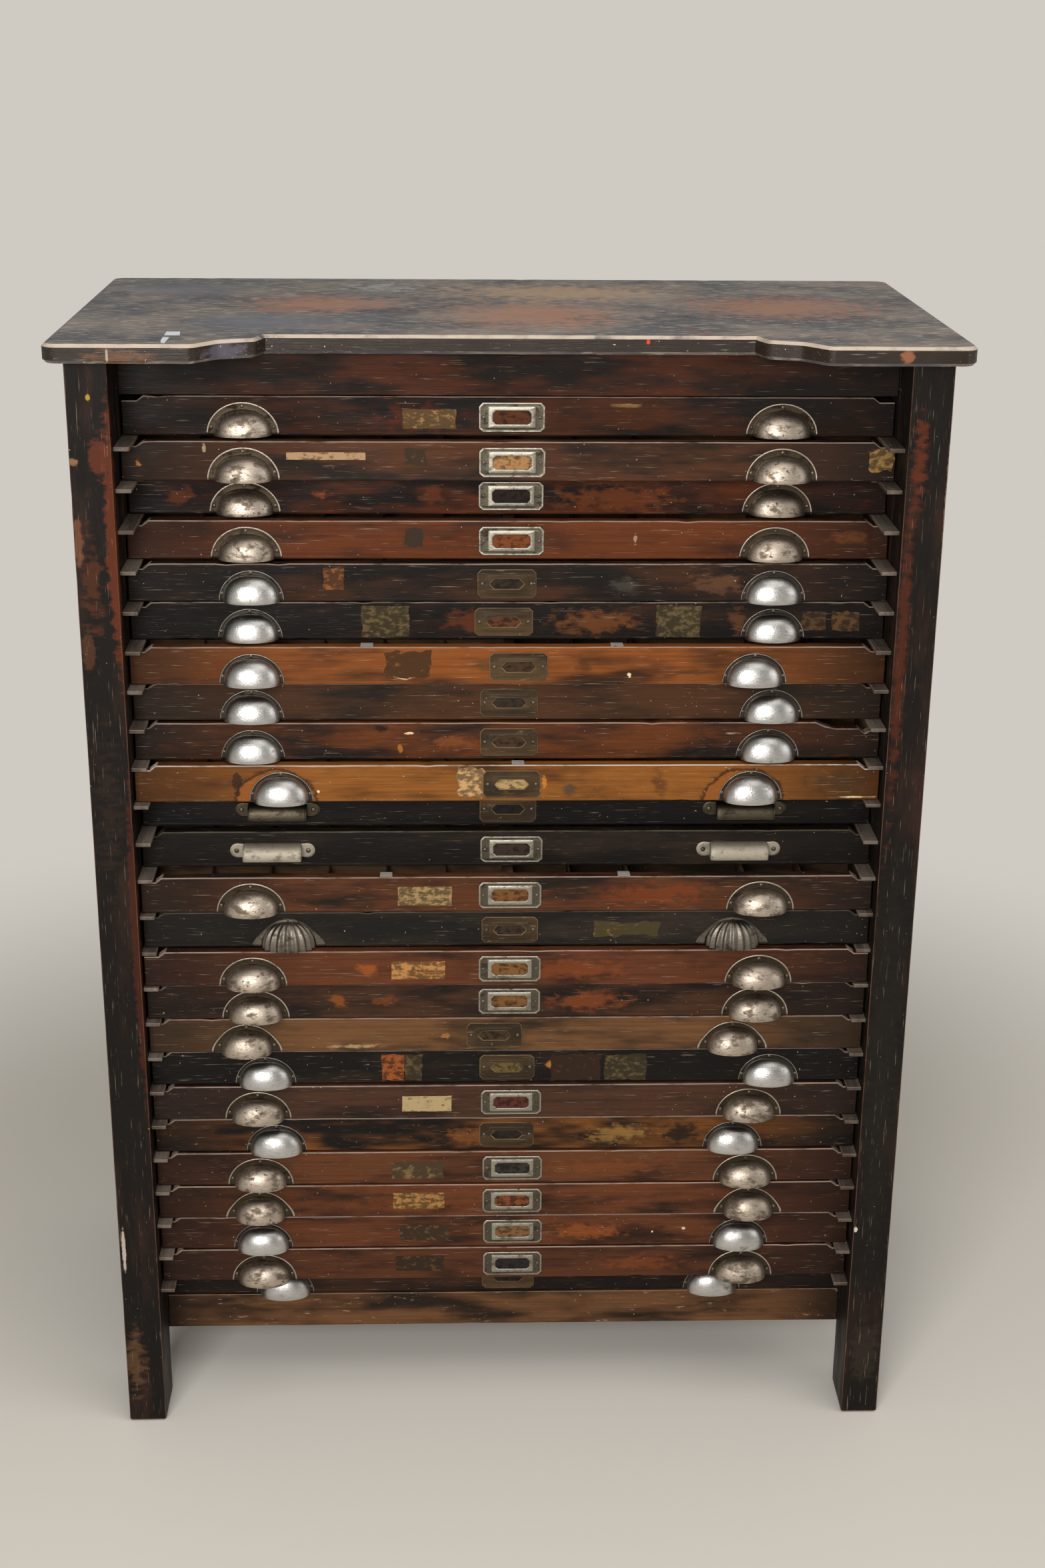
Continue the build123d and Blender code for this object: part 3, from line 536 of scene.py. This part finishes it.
def front_board(name, half, face_y, base_z, seed, break_out=None):
    """A case front, its arrises worn round and its top corners cut away."""
    shoulder = half - CORNER_CUT_WIDTH
    stations = [half, half - 0.0004, half - 0.0014, shoulder + 0.0006, shoulder, shoulder - CORNER_CUT_SLOPE]
    xs = stations + [-x for x in stations]
    count = 68
    reach = shoulder - CORNER_CUT_SLOPE - 0.003
    xs += [-reach + 2 * reach * i / count for i in range(count + 1)]
    xs = sorted(xs)
    points = []
    for x in xs:
        near_end = max(0.0, abs(x) - (half - 0.0014)) / 0.0014
        inset = 0.0012 * near_end**2
        top = FRONT_HEIGHT - CORNER_CUT * min(1.0, max(0.0, (abs(x) - shoulder + CORNER_CUT_SLOPE) / CORNER_CUT_SLOPE))
        if break_out and break_out[0] < x < break_out[1]:
            top -= break_out[2] * min(1.0, (x - break_out[0]) / 0.006, (break_out[1] - x) / 0.004)
        wear = [
            0.0003 * (1 + noise.noise(Vector((x * 22, seed, k)))) + 0.004 * max(0.0, noise.noise(Vector((x * 60, seed, k + 5))) - 0.42)
            for k in range(3)
        ]
        low, high = wear[0] * 0.8 + inset, top - wear[1] - inset
        front, back = wear[2] * 0.5 + inset, FRONT_THICK - inset
        round_top, round_low, round_back = 0.0019, 0.0014, 0.0008
        ring = []
        for y, z, r, start in (
            (front + round_low, low + round_low, round_low, 180),
            (front + round_top, high - round_top, round_top, 90),
            (back - round_back, high - round_back, round_back, 0),
            (back - round_back, low + round_back, round_back, -90),
        ):
            turns = [radians(start + step) for step in (90, 45, 0)]
            ring += [(y + r * cos(t), z + r * sin(t)) for t in turns]
            if start == 180:
                groove = low + FLOOR_THICK + 0.0006
                ring += [(front, groove - 0.0004), (front + 0.0005, groove), (front, groove + 0.0005)]
        points += [(x, face_y + y, base_z + z) for y, z in ring]
    size = 15
    faces = [
        [i * size + k, (i + 1) * size + k, (i + 1) * size + (k + 1) % size, i * size + (k + 1) % size]
        for i in range(len(xs) - 1)
        for k in range(size)
    ]
    faces += [list(range(size)), [(len(xs) - 1) * size + k for k in range(size)]]
    return mesh_piece(name, points, faces)


def tray(name, half, face_y, back_y, base_z):
    """The rest of a case: sides, back, floor, centre bar and dividers, as eased boards."""
    inner = half - SIDE_THICK
    front, rear = face_y + FRONT_THICK, back_y - BACK_THICK
    boards = [
        ((-half, front, 0), (half, back_y, FLOOR_THICK)),
        ((-half, front, FLOOR_THICK), (-inner, back_y, SIDE_TOP)),
        ((inner, front, FLOOR_THICK), (half, back_y, SIDE_TOP)),
        ((-inner, rear, FLOOR_THICK), (inner, back_y, SIDE_TOP)),
        ((-CENTRE_BAR / 2, front, FLOOR_THICK), (CENTRE_BAR / 2, rear, SIDE_TOP)),
    ]
    bay_x = (inner - CENTRE_BAR / 2 - 2 * DIVIDER_THICK) / 3
    mid_y = front + (rear - front) / 2 - DIVIDER_THICK / 2
    for side in (-1, 1):
        bars = [(CENTRE_BAR / 2, inner, mid_y, mid_y + DIVIDER_THICK)]
        for ya, yb in ((front, mid_y), (mid_y + DIVIDER_THICK, rear)):
            rows = 3 if side < 0 else 2
            row = (yb - ya - (rows - 1) * THIN_DIVIDER) / rows
            for i in range(3):
                x0 = CENTRE_BAR / 2 + i * (bay_x + DIVIDER_THICK)
                if i:
                    bars.append((x0 - DIVIDER_THICK, x0, ya, yb))
                for r in range(1, rows):
                    y0 = ya + r * row + (r - 1) * THIN_DIVIDER
                    bars.append((x0, x0 + bay_x, y0, y0 + THIN_DIVIDER))
                if side < 0 or i != 1:
                    middle = x0 + bay_x / 2 - THIN_DIVIDER / 2
                    bars.append((middle, middle + THIN_DIVIDER, ya, yb))
        for xa, xb, ya, yb in bars:
            xa, xb = sorted((side * xa, side * xb))
            boards.append(((xa, ya, FLOOR_THICK), (xb, yb, DIVIDER_TOP)))
    mesh = bpy.data.meshes.new(name)
    shape = bmesh.new()
    for low, high in boards:
        middle = (Vector(low) + Vector(high)) / 2 + Vector((0, 0, base_z))
        size = Vector(high) - Vector(low)
        count = len(shape.faces)
        bmesh.ops.create_cube(shape, matrix=Matrix.Translation(middle) @ Matrix.Diagonal(size).to_4x4())
        shape.faces.ensure_lookup_table()
        for face in shape.faces[count:]:
            face.material_index = int(size.y > size.x)
    bmesh.ops.bevel(shape, geom=shape.edges[:], offset=0.0004, segments=1, affect="EDGES")
    shape.to_mesh(mesh)
    shape.free()
    piece = bpy.data.objects.new(name, mesh)
    bpy.context.scene.collection.objects.link(piece)
    return piece


for number, (pull, left, right, holder, middle, card, stain, body, bare, worn, rubbed) in enumerate(CASES, 1):
    case = f"case_{number:02d}"
    low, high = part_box(case)
    half = (high[0] - low[0]) / 2
    ghosts = [
        (((x, 1000 * low[1], 1000 * low[2]), (wide, 40, wide * 0.84), 0.12, 0.04), shade, strength)
        for x in GHOST_CENTRES
        for wide, shade, strength in GHOST_COATS
    ]
    marks = [
        (((x, 1000 * low[1], 1000 * low[2] + up), (wide, 30, tall), 0.9, 0.35 if wide > 8 else 0.15), shade, strength)
        for x, up, wide, tall, shade, strength in MARKS.get(number, ())
    ]
    finish = stained_wood(
        f"worn stain on case front {number}", 0, stain, body, bare, worn, rubbed, 70.0 + 3.7 * number, ends=(200, 410),
        arris=ARRIS_WEAR_AND_HIGHLIGHT.get(number, "#9a8576"),
        spots=(ghosts if number == 10 else []) + marks,
    )
    missing = (0.349, 0.404, 0.0075) if number == 9 else None
    front = front_board(case + "_front", half, low[1], low[2], number * 3.1, missing)
    finish_piece(front, finish, case)
    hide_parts(case)
    rest = tray(case + "_tray", half, low[1], high[1], low[2])
    finish_piece(rest, (bare_tray, bare_tray_sides), case)
    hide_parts(case)

# ---------------------------------------------------------------- pulls
# Pressed steel cups on a flange, nailed on with three pins. The older ones have lost
# their nickel in patches and are brown and limy; the newer ones are rubbed bright.


# Both cup finishes are painted browner towards the top as painted shade.
aged_cup = plated_steel("aged nickel on a pressed cup", "#b9ab9b", "#5e5042", "#382d22", 0.66, 0.5, 0.42, 3.0, painted_dark_top=0.8)
aged_flange = plated_steel("tarnished nickel on a flange", "#453c30", "#2d251c", "#1e1812", 0.55, 0.45, 0.48, 23.0)
aged_bead_and_highlight = plated_steel("nickel left on a rolled bead, painted as a highlight", "#b8ab9a", "#75665a", "#4a3e30", 0.4, 0.3, 0.4, 26.0)
rubbed_cup = plated_steel("nickel rubbed bright", "#c4c1bd", "#7b7771", "#4f4740", 0.34, 0.1, 0.33, 9.0, painted_dark_top=0.8)
rubbed_flange = plated_steel("nickel rubbed thin on a flange", "#3b362f", "#26211b", "#1c1712", 0.45, 0.3, 0.45, 29.0)
rubbed_bead_and_highlight = plated_steel("nickel rubbed bright on a bead, painted as a highlight", "#b5b0a8", "#75706a", "#443e36", 0.35, 0.2, 0.36, 30.0)
worn_shell = plated_steel("brass worn grey on a shell", "#736b60", "#39342d", "#6b5530", 0.5, 0.2, 0.42, 35.0)
# Dark brass, partly painted shade, for the grips of case 11.
dark_brass_and_shade = plated_steel("dark brass with painted shade", "#4d4638", "#2e2a24", "#5e4d2a", 0.5, 0.25, 0.45, 33.0)
limed_grip = plated_steel("limed nickel on a hooded grip", "#9c9382", "#756c5a", "#544c3c", 0.5, 0.3, 0.55, 37.0, metallic=0.6)
pin_steel = plated_steel("steel pins, rusted", "#6e6258", "#40342a", "#241a14", 0.5, 0.4, 0.45, 15.0)

SHEET = 0.0011
PULL_LIFT = 0.0015
HOOD_LIFT = 0.012


def cup_dome(shape, width, rise, out, lift, flutes=0):
    """The pressed bowl of a cup, with its sheet's thickness, open below."""
    across, upward = (72 if flutes else 28), 12
    layers = []
    for inward in (0.0, SHEET):
        rows = []
        for j in range(upward + 1):
            tilt = pi / 2 * j / upward
            row = []
            for i in range(across + 1):
                turn = pi * i / across
                swell = 1.0
                if flutes:
                    swell = 1 - 0.11 * cos(tilt) ** 0.5 * abs(cos(flutes * turn)) ** 1.6
                level = max(0.0, cos(tilt)) ** 0.8 * swell
                x = (width / 2 - inward) * level * cos(turn)
                y = -(out - inward) * level * max(0.0, sin(turn)) ** 0.85
                z = (rise - inward) * sin(tilt) ** 0.9
                row.append(shape.verts.new((x, y, lift + z)))
            rows.append(row)
        layers.append(rows)
    for rows in layers:
        for a, b in zip(rows, rows[1:]):
            for i in range(across):
                shape.faces.new((a[i], a[i + 1], b[i + 1], b[i]))
    outer, inner = layers
    for i in range(across):
        shape.faces.new((outer[0][i], inner[0][i], inner[0][i + 1], outer[0][i + 1]))
    for side in (0, across):
        for j in range(upward):
            shape.faces.new((outer[j][side], outer[j + 1][side], inner[j + 1][side], inner[j][side]))


def flange(shape, width, rise, border, lift, ears=0.0):
    """The flat rim round a cup's arch, with a rolled bead along its outer edge in a
    brighter finish: rubbed nickel and a painted highlight.
    """
    profile = [(-0.05, 0), (-0.05, 0.0014), (0.1, 0.0008), (0.8, 0.0007), (0.88, 0.0013), (0.97, 0.0011), (1, 0.0003), (1, 0)]
    steps = 40
    rings = []
    for i in range(steps + 1):
        turn = pi * i / steps
        flare = 1 + ears * abs(cos(turn)) ** 10
        ring = []
        for share, out in profile:
            w = width / 2 + border * share * flare
            r = rise + border * share
            ring.append(shape.verts.new((w * cos(turn), -out, lift + r * sin(turn))))
        rings.append(ring)
    size = len(profile)
    for a, b in zip(rings, rings[1:]):
        for k in range(size):
            face = shape.faces.new((a[k], b[k], b[(k + 1) % size], a[(k + 1) % size]))
            # The bead faces take the brighter finish, partly a painted highlight.
            face.material_index = 3 if k in (3, 4, 5) else 1
    for ring in (rings[0], rings[-1]):
        shape.faces.new(ring).material_index = 1


def painted_from(shape, first, finish):
    """Gives every face made since the first so many the finish of that number."""
    shape.faces.ensure_lookup_table()
    for face in shape.faces[first:]:
        face.material_index = finish


def cup_pull(name, width, height, out, border, ears=0.0, flutes=0):
    """A mesh of one cup pull at the origin: bowl, flange and pins."""
    shape = bmesh.new()
    bowl_width, bowl_rise = width - 2 * border, height - border
    cup_dome(shape, bowl_width, bowl_rise, out, 0, flutes)
    flange(shape, bowl_width, bowl_rise, border, 0, ears)
    count = len(shape.faces)
    for turn in (16, 90, 164):
        a = radians(turn)
        x = (bowl_width / 2 + border * 0.45) * cos(a)
        pin_head(shape, x, -0.0008, (bowl_rise + border * 0.45) * sin(a), min(0.0021, border * 0.42))
    painted_from(shape, count, 2)
    return finished_mesh(shape, name)


def hood_pull(name, width, height, out, grip):
    """A mesh of one hooded grip at the origin, open below, between two lugs with screws."""
    shape = bmesh.new()
    wall, bends, half = 0.0012, 10, grip / 2
    stations = [(-x, k) for x, k in zip((half, half - 0.0008, half - 0.0026, half - 0.006), (0.9, 0.96, 0.995, 1.0))]
    stations += [(0.0, 1.0)] + [(-x, k) for x, k in reversed(stations)]
    rings = []
    for x, k in stations:
        arc = [(cos(pi / 2 * i / bends) ** 0.75, sin(pi / 2 * i / bends) ** 0.8) for i in range(bends + 1)]
        outer = [(-out * k * a, height * k * b) for a, b in arc]
        inner = [(-(out * k - wall) * a, (height * k - wall) * b) for a, b in reversed(arc)]
        rings.append([shape.verts.new((x, y, z)) for y, z in outer + inner])
    size = len(rings[0])
    for a, b in zip(rings, rings[1:]):
        for k in range(size):
            shape.faces.new((a[k], b[k], b[(k + 1) % size], a[(k + 1) % size]))
    for ring in (rings[0], rings[-1]):
        shape.faces.new(ring)
        cheek = [shape.verts.new((ring[0].co.x, 0.0, 0.0))] + [shape.verts.new(v.co) for v in ring[: bends + 1]]
        shape.faces.new(cheek)
    for side in (-1, 1):
        root, round_end = half - 0.002, height * 0.5
        tip = width / 2 - round_end
        outline = [(side * root, 0.0006), (side * tip, 0.0)]
        outline += [
            (side * (tip + round_end * sin(radians(t))), round_end * (1 - cos(radians(t)))) for t in range(15, 166, 15)
        ]
        outline += [(side * tip, height), (side * root, height - 0.0006)]
        shrunk = [(side * (tip - 0.002) + (x - side * tip) * 0.8, round_end + (z - round_end) * 0.84) for x, z in outline]
        steps = [(outline, 0.0), (outline, -0.001), (shrunk, -0.0018)]
        plates = [[shape.verts.new((x, y, z)) for x, z in flat] for flat, y in steps]
        for near, far in zip(plates, plates[1:]):
            for k in range(len(outline)):
                j = (k + 1) % len(outline)
                shape.faces.new((near[k], near[j], far[j], far[k]))
        shape.faces.new(plates[0])
        shape.faces.new(plates[-1])
    count = len(shape.faces)
    for side in (-1, 1):
        pin_head(shape, side * (width / 2 - 0.0075), -0.0018, height * 0.5, 0.0028)
    painted_from(shape, count, 2)
    return finished_mesh(shape, name)


PULL_MESHES = {
    "cup": cup_pull("cup pull", 0.078, 0.035, 0.021, 0.0082),
    "ear_cup": cup_pull("cup pull with ears", 0.073, 0.035, 0.021, 0.0070, ears=0.7),
    "small_cup": cup_pull("small cup pull", 0.071, 0.034, 0.020, 0.0045),
    "shell": cup_pull("shell pull", 0.068, 0.034, 0.021, 0.003, ears=2.7, flutes=9),
    "hood": hood_pull("hooded pull", 0.096, 0.0175, 0.0155, 0.066),
}
PULL_FINISHES = {
    "cup": (aged_cup, aged_flange, pin_steel, aged_bead_and_highlight),
    "small_cup": (rubbed_cup, rubbed_flange, pin_steel, rubbed_bead_and_highlight),
    "shell": (worn_shell, worn_shell, pin_steel, worn_shell),
    "hood": (limed_grip, limed_grip, pin_steel),
}


def placed(mesh, name, x, y, z):
    """A copy of a mesh as a new piece at a place."""
    copy = mesh.copy()
    copy.transform(Matrix.Translation((x, y, z)))
    piece = bpy.data.objects.new(name, copy)
    bpy.context.scene.collection.objects.link(piece)
    return piece


for number, row in enumerate(CASES, 1):
    case = f"case_{number:02d}"
    kind = "ear_cup" if number in (17, 22) else row[0]
    # Case 11's grips take a dark finish that is partly painted shade.
    finishes = PULL_FINISHES[row[0]] if number != 11 else (dark_brass_and_shade, dark_brass_and_shade, pin_steel)
    low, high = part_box(case)
    lift = HOOD_LIFT if kind == "hood" else PULL_LIFT
    for side, x in (("left", row[1]), ("right", row[2])):
        piece = placed(PULL_MESHES[kind], f"{case}_pull_{side}", x / 1000, low[1], low[2] + lift)
        finish_piece(piece, finishes, case)
        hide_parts(case + "_fittings")

# ---------------------------------------------------------------- label holders
# Stamped plates with a raised frame round the window, pinned left and right. Some
# are bright; others were painted over with the front. Most hold a faded bare card.
stamped_plate = plated_steel("tarnished stamped plate", "#5c5548", "#383024", "#241d15", 0.5, 0.6, 0.45, 41.0)
bright_frame = plated_steel("rubbed frame of a stamped plate", "#a39c8e", "#665c50", "#382f24", 0.5, 0.45, 0.4, 43.0)
painted_plate = stained_wood(
    "dark stain over stamped steel", 0, "#2e2317", "#4e3c26", "#75603f", 0.6, 0.4, 201.0,
    arris="#8a7250", upper_arris_highlight=False, gloss=0.38
)


def octagon(half_width, half_height, clip, y, z):
    """The corners of a rectangle with clipped corners, upright at y."""
    w, h, c = half_width, half_height, clip
    flat = [(w, h - c), (w - c, h), (-w + c, h), (-w, h - c), (-w, c - h), (c - w, -h), (w - c, -h), (w, c - h)]
    return [(x, y, z + up) for x, up in flat]


def label_holder(name, width, height, frame_size, window_size, frame_clip, clip):
    """A stamped holder at the origin: plate with a sunk border, raised frame, window."""
    z = 0.0045 + height / 2
    w, h = width / 2, height / 2
    fw, fh = frame_size[0] / 2, frame_size[1] / 2
    a, b = window_size[0] / 2, window_size[1] / 2
    rings = [
        (w, h, 0.0042, 0.0),
        (w, h, 0.0042, -0.0007),
        (w - 0.0006, h - 0.0006, 0.0040, -0.0010),
        (w - 0.0018, h - 0.0018, 0.0036, -0.0010),
        (w - 0.0023, h - 0.0023, 0.0034, -0.0006),
        (fw, fh, frame_clip, -0.0006),
        (fw - 0.0003, fh - 0.0003, frame_clip, -0.0016),
        (a + 0.0006, b + 0.0006, clip, -0.0016),
        (a, b, clip, -0.0012),
        (a, b, clip, 0.0),
    ]
    shape = bmesh.new()
    loops = [[shape.verts.new(p) for p in octagon(*ring, z)] for ring in rings]
    loops.append(loops[0])
    for index, (near, far) in enumerate(zip(loops, loops[1:])):
        for k in range(8):
            face = shape.faces.new((near[k], near[(k + 1) % 8], far[(k + 1) % 8], far[k]))
            face.material_index = 1 if 5 <= index <= 7 or index in (1, 2) else 0
    count = len(shape.faces)
    for side in (-1, 1):
        pin_head(shape, side * (w - 0.0052), -0.0006, z, 0.0021)
    painted_from(shape, count, 2)
    return finished_mesh(shape, name)


HOLDER_MESHES = {
    "bright": label_holder("bright holder", 0.071, 0.032, (0.050, 0.023), (0.041, 0.0145), 0.0006, 0.0034),
    "painted": label_holder("painted holder", 0.064, 0.032, (0.046, 0.020), (0.037, 0.0115), 0.003, 0.0052),
}


def aged_paper(name, shade, seed, foxed=0.45):
    """Old paper or card: browned, foxed and rubbed, quite matt."""
    finish, tree, shader = new_finish(name)
    darker = [c * 0.3 for c in linear(shade)[:3]] + [1.0]
    foxing = cloud(tree, (8, 8, 5), seed, 0.68 - foxed / 2, 0.84 - foxed / 2, 6.0)
    colour = add(tree, "Mix", {0: foxing, 6: linear(shade), 7: darker}, data_type="RGBA").outputs[2]
    tree.links.new(colour, shader.inputs["Base Color"])
    shader.inputs["Roughness"].default_value = 0.75
    shader.inputs["Specular IOR Level"].default_value = 0.2
    return finish


for number, row in enumerate(CASES, 1):
    case = f"case_{number:02d}"
    low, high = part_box(case)
    bright = row[3] == "bright"
    piece = placed(HOLDER_MESHES[row[3]], case + "_label_holder", row[4] / 1000, low[1], low[2])
    finishes = (stamped_plate, bright_frame, pin_steel) if bright else (painted_plate, painted_plate, pin_steel)
    finish_piece(piece, finishes, case)
    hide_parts(case + "_fittings")
    half_card, half_high = (0.0225, 0.0095) if bright else (0.020, 0.0075)
    z = 0.0045 + 0.016
    outline = octagon(half_card, half_high, 0.001, -0.0004, z) + octagon(half_card, half_high, 0.001, -0.0001, z)
    faces = [list(range(8)), list(range(8, 16))] + [[k, (k + 1) % 8, 8 + (k + 1) % 8, 8 + k] for k in range(8)]
    slip = mesh_piece(case + "_card", outline, faces)
    slip.data.transform(Matrix.Translation((row[4] / 1000, low[1], low[2])))
    finish_piece(slip, aged_paper(f"aged card {number}", row[5] or "#1c1613", 7.0 * number), case)

# ---------------------------------------------------------------- paper scraps
# Labels pasted on the fronts and never cleaned off: some whole, some torn or rubbed
# to a stain. They are left bare here. Two white scraps of paper lie on the top.
# Each row is a case, the scrap's left, right, lower and upper edge in millimetres
# from the middle of the case's underside, its shade, how foxed and how torn it is.
SCRAPS = [
    (1, -115, -58, 8, 29, "#8f6c42", 0.65, 0.7),
    (2, -239, -155, 23, 31, "#a0805e", 0.4, 0.4),
    (2, -113, -90, 18, 35, "#5e4630", 0.8, 1.4),
    (2, 384, 413, 11, 34, "#8a6a3c", 0.5, 3.0),
    (4, -114, -94, 14, 34, "#5c4430", 0.8, 1.4),
    (5, -203, -180, 14, 38, "#7a4a26", 0.65, 1.0),
    (6, -162, -110, 3, 39, "#5c4c2e", 0.6, 1.2),
    (6, 162, 211, 3, 39, "#584a2e", 0.6, 1.2),
    (6, 322, 349, 10, 32, "#4d351e", 0.6, 1.6),
    (6, 356, 386, 10, 32, "#553a20", 0.55, 1.8),
    (7, -136, -87, 9, 38, "#75491f", 0.8, 3.0),
    (10, -57, -29, 5, 40, "#b58e5e", 0.6, 3.2),
    (13, -125, -64, 8, 31, "#94784e", 0.55, 0.4),
    (14, 99, 174, 12, 30, "#6e5c34", 0.8, 2.6),
    (15, -133, -72, 8, 30, "#a67440", 0.6, 0.4),
    (18, -146, -120, 4, 38, "#84461f", 0.5, 1.4),
    (18, -120, -99, 4, 38, "#544529", 0.6, 1.4),
    (18, 51, 110, 3, 36, "#4d311b", 0.8, 2.6),
    (18, 114, 164, 3, 36, "#524428", 0.65, 1.4),
    (19, -123, -65, 9, 29, "#a08a62", 0.3, 0.4),
    (21, -136, -75, 7, 29, "#6e5638", 0.7, 0.8),
    (22, -135, -74, 10, 32, "#966c3a", 0.55, 0.6),
    (23, -128, -69, 9, 30, "#5a4228", 0.7, 0.5),
    (24, -133, -75, 11, 32, "#4f371f", 0.7, 0.6),
]


def scrap_outline(x0, x1, z0, z1, torn, seed):
    """Points round a scrap of paper, with edges as ragged as it is torn."""
    corners = [(x0, z0), (x1, z0), (x1, z1), (x0, z1)]
    points = []
    for (xa, za), (xb, zb) in zip(corners, corners[1:] + corners[:1]):
        for i in range(9):
            t = i / 9
            x, z = xa + (xb - xa) * t, za + (zb - za) * t
            shift = noise.noise_vector(Vector((x * 0.11, z * 0.11, seed))) * torn
            points.append((x + shift[0] * 1.6, z + shift[1] * 1.6))
    return points


for count, (number, x0, x1, z0, z1, shade, foxed, torn) in enumerate(SCRAPS):
    case = f"case_{number:02d}"
    low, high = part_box(case)
    flat = scrap_outline(x0, x1, z0, z1, torn, count * 5.3)
    size = len(flat)
    points = [(x / 1000, low[1] + y, low[2] + z / 1000) for y in (0.0004, -0.0001) for x, z in flat]
    faces = [list(range(size)), list(range(size, 2 * size))]
    faces += [[k, (k + 1) % size, size + (k + 1) % size, size + k] for k in range(size)]
    scrap = mesh_piece(f"{case}_paper_{count}", points, faces)
    finish_piece(scrap, aged_paper(f"pasted paper {count}", shade, count * 3.7, foxed), case)

# Bits of grey board have been pushed in on top of three fronts, to wedge the cases.
grey_board = aged_paper("grey board", "#9a948c", 3.0, 0.2)
for count, (number, x) in enumerate(((7, -156), (7, 118), (10, 10), (13, -138), (13, 131))):
    case = f"case_{number:02d}"
    low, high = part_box(case)
    top = low[2] + FRONT_HEIGHT - 0.0002
    flat = [(x - 7, 0.8), (x + 7, 0.4), (x + 6.6, 13), (x - 6.8, 13.2)]
    points = [(a / 1000, low[1] + b / 1000, top + z) for z in (0.0, 0.0009) for a, b in flat]
    faces = [[0, 1, 2, 3], [4, 5, 6, 7]] + [[k, (k + 1) % 4, 4 + (k + 1) % 4, 4 + k] for k in range(4)]
    wedge = mesh_piece(f"{case}_wedge_{count}", points, faces)
    finish_piece(wedge, grey_board, case)

white_paper = aged_paper("white paper", "#e6ebf2", 1.0, 0.0)
for name, x, y, wide, deep, turn in (("left", -0.365, -0.233, 0.021, 0.040, 0.0), ("right", -0.353, -0.188, 0.021, 0.026, 0.0)):
    flat = scrap_outline(-500 * wide, 500 * wide, -500 * deep, 500 * deep, 0.3, x * 90)
    size = len(flat)
    bottom = cad_high[2] - 0.0009
    points = [(a / 1000, b / 1000, z) for z in (0.0, 0.0006) for a, b in flat]
    faces = [list(range(size)), list(range(size, 2 * size))]
    faces += [[k, (k + 1) % size, size + (k + 1) % size, size + k] for k in range(size)]
    scrap = mesh_piece(f"top_paper_{name}", points, faces)
    scrap.data.transform(Matrix.Translation((x, y, bottom)) @ Matrix.Rotation(turn, 4, "Z"))
    finish_piece(scrap, white_paper, "carcase")

# ---------------------------------------------------------------- studio
# The camera stands where the photograph was taken from. A plain pale floor, one large
# soft light in front a little above the camera, a weaker one, and an even surround.
STAND = Vector((-0.0624, -2.499, 1.6637))
tilt, pan, roll = 0.353, 0.034, 0.009
look = Vector((sin(pan) * cos(tilt), cos(pan) * cos(tilt), -sin(tilt)))
level = Vector((cos(pan), -sin(pan), 0))
upright = level.cross(look)
across = level * cos(roll) + upright * sin(roll)
upwards = upright * cos(roll) - level * sin(roll)
camera = bpy.data.objects.new("camera", bpy.data.cameras.new("camera"))
camera.data.lens = 50.085
camera.data.sensor_width = 36.0
camera.matrix_world = Matrix.Translation(STAND) @ Matrix((across, upwards, -look)).transposed().to_4x4()
bpy.context.scene.collection.objects.link(camera)
bpy.context.scene.camera = camera

floor_finish, tree, shader = new_finish("matt pale floor")
shader.inputs["Base Color"].default_value = linear("#dcd6cc")
shader.inputs["Roughness"].default_value = 0.9
# Past arm's length from the object the floor is its own colour to the eye and in the
# metal, however little light falls there, so that it runs evenly into the surround.
paper = add(tree, "Emission", {"Color": linear("#cfcac2"), "Strength": 1.0})
ray = add(tree, "LightPath").outputs
seen = add(tree, "Math", {0: ray["Is Camera Ray"], 1: ray["Is Glossy Ray"]}, operation="MAXIMUM").outputs[0]
away = add(tree, "VectorMath", {0: add(tree, "NewGeometry").outputs["Position"]}, operation="LENGTH").outputs["Value"]
far = {"Value": away, "From Min": 0.8, "From Max": 1.9}
far = add(tree, "MapRange", far, interpolation_type="SMOOTHSTEP").outputs["Result"]
even = add(tree, "Math", {0: far, 1: seen}, operation="MULTIPLY").outputs[0]
output = tree.nodes["Material Output"]
mixed = add(tree, "MixShader", {0: even, 1: shader.outputs[0], 2: paper.outputs[0]})
tree.links.new(mixed.outputs[0], output.inputs["Surface"])
floor = mesh_piece("floor", [(-60, -60, 0), (60, -60, 0), (60, 60, 0), (-60, 60, 0)], [[0, 1, 2, 3]])
floor.data.materials.append(floor_finish)
floor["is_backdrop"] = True

for name, place, aim, size, power in (
    ("key light", (-0.9, -3.6, 1.9), (0, 0, 0.7), 1.6, 108),
    ("high light", (0.6, -1.6, 3.6), (0, 0, 0.7), 2.2, 35),
    ("side light", (3.2, -1.6, 1.8), (0, 0, 0.7), 1.8, 22),
):
    lamp = bpy.data.lights.new(name, "AREA")
    lamp.size = size
    lamp.energy = power
    lamp_object = bpy.data.objects.new(name, lamp)
    lamp_object.location = place
    lamp_object.rotation_mode = "QUATERNION"
    lamp_object.rotation_quaternion = (Vector(aim) - Vector(place)).to_track_quat("-Z", "Y")
    bpy.context.scene.collection.objects.link(lamp_object)

world = bpy.data.worlds.new("pale surround")
world.use_nodes = True
world.node_tree.nodes.clear()
surround = add(world.node_tree, "Background", {"Color": linear("#d3d0ca"), "Strength": 0.44})
paper = add(world.node_tree, "Background", {"Color": linear("#cfcac2"), "Strength": 1.0})
seen = add(world.node_tree, "LightPath").outputs["Is Camera Ray"]
mixed = add(world.node_tree, "MixShader", {0: seen, 1: surround.outputs[0], 2: paper.outputs[0]})
add(world.node_tree, "OutputWorld", {"Surface": mixed.outputs[0]})
bpy.context.scene.world = world
bpy.context.scene.view_settings.view_transform = "Standard"

low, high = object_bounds()
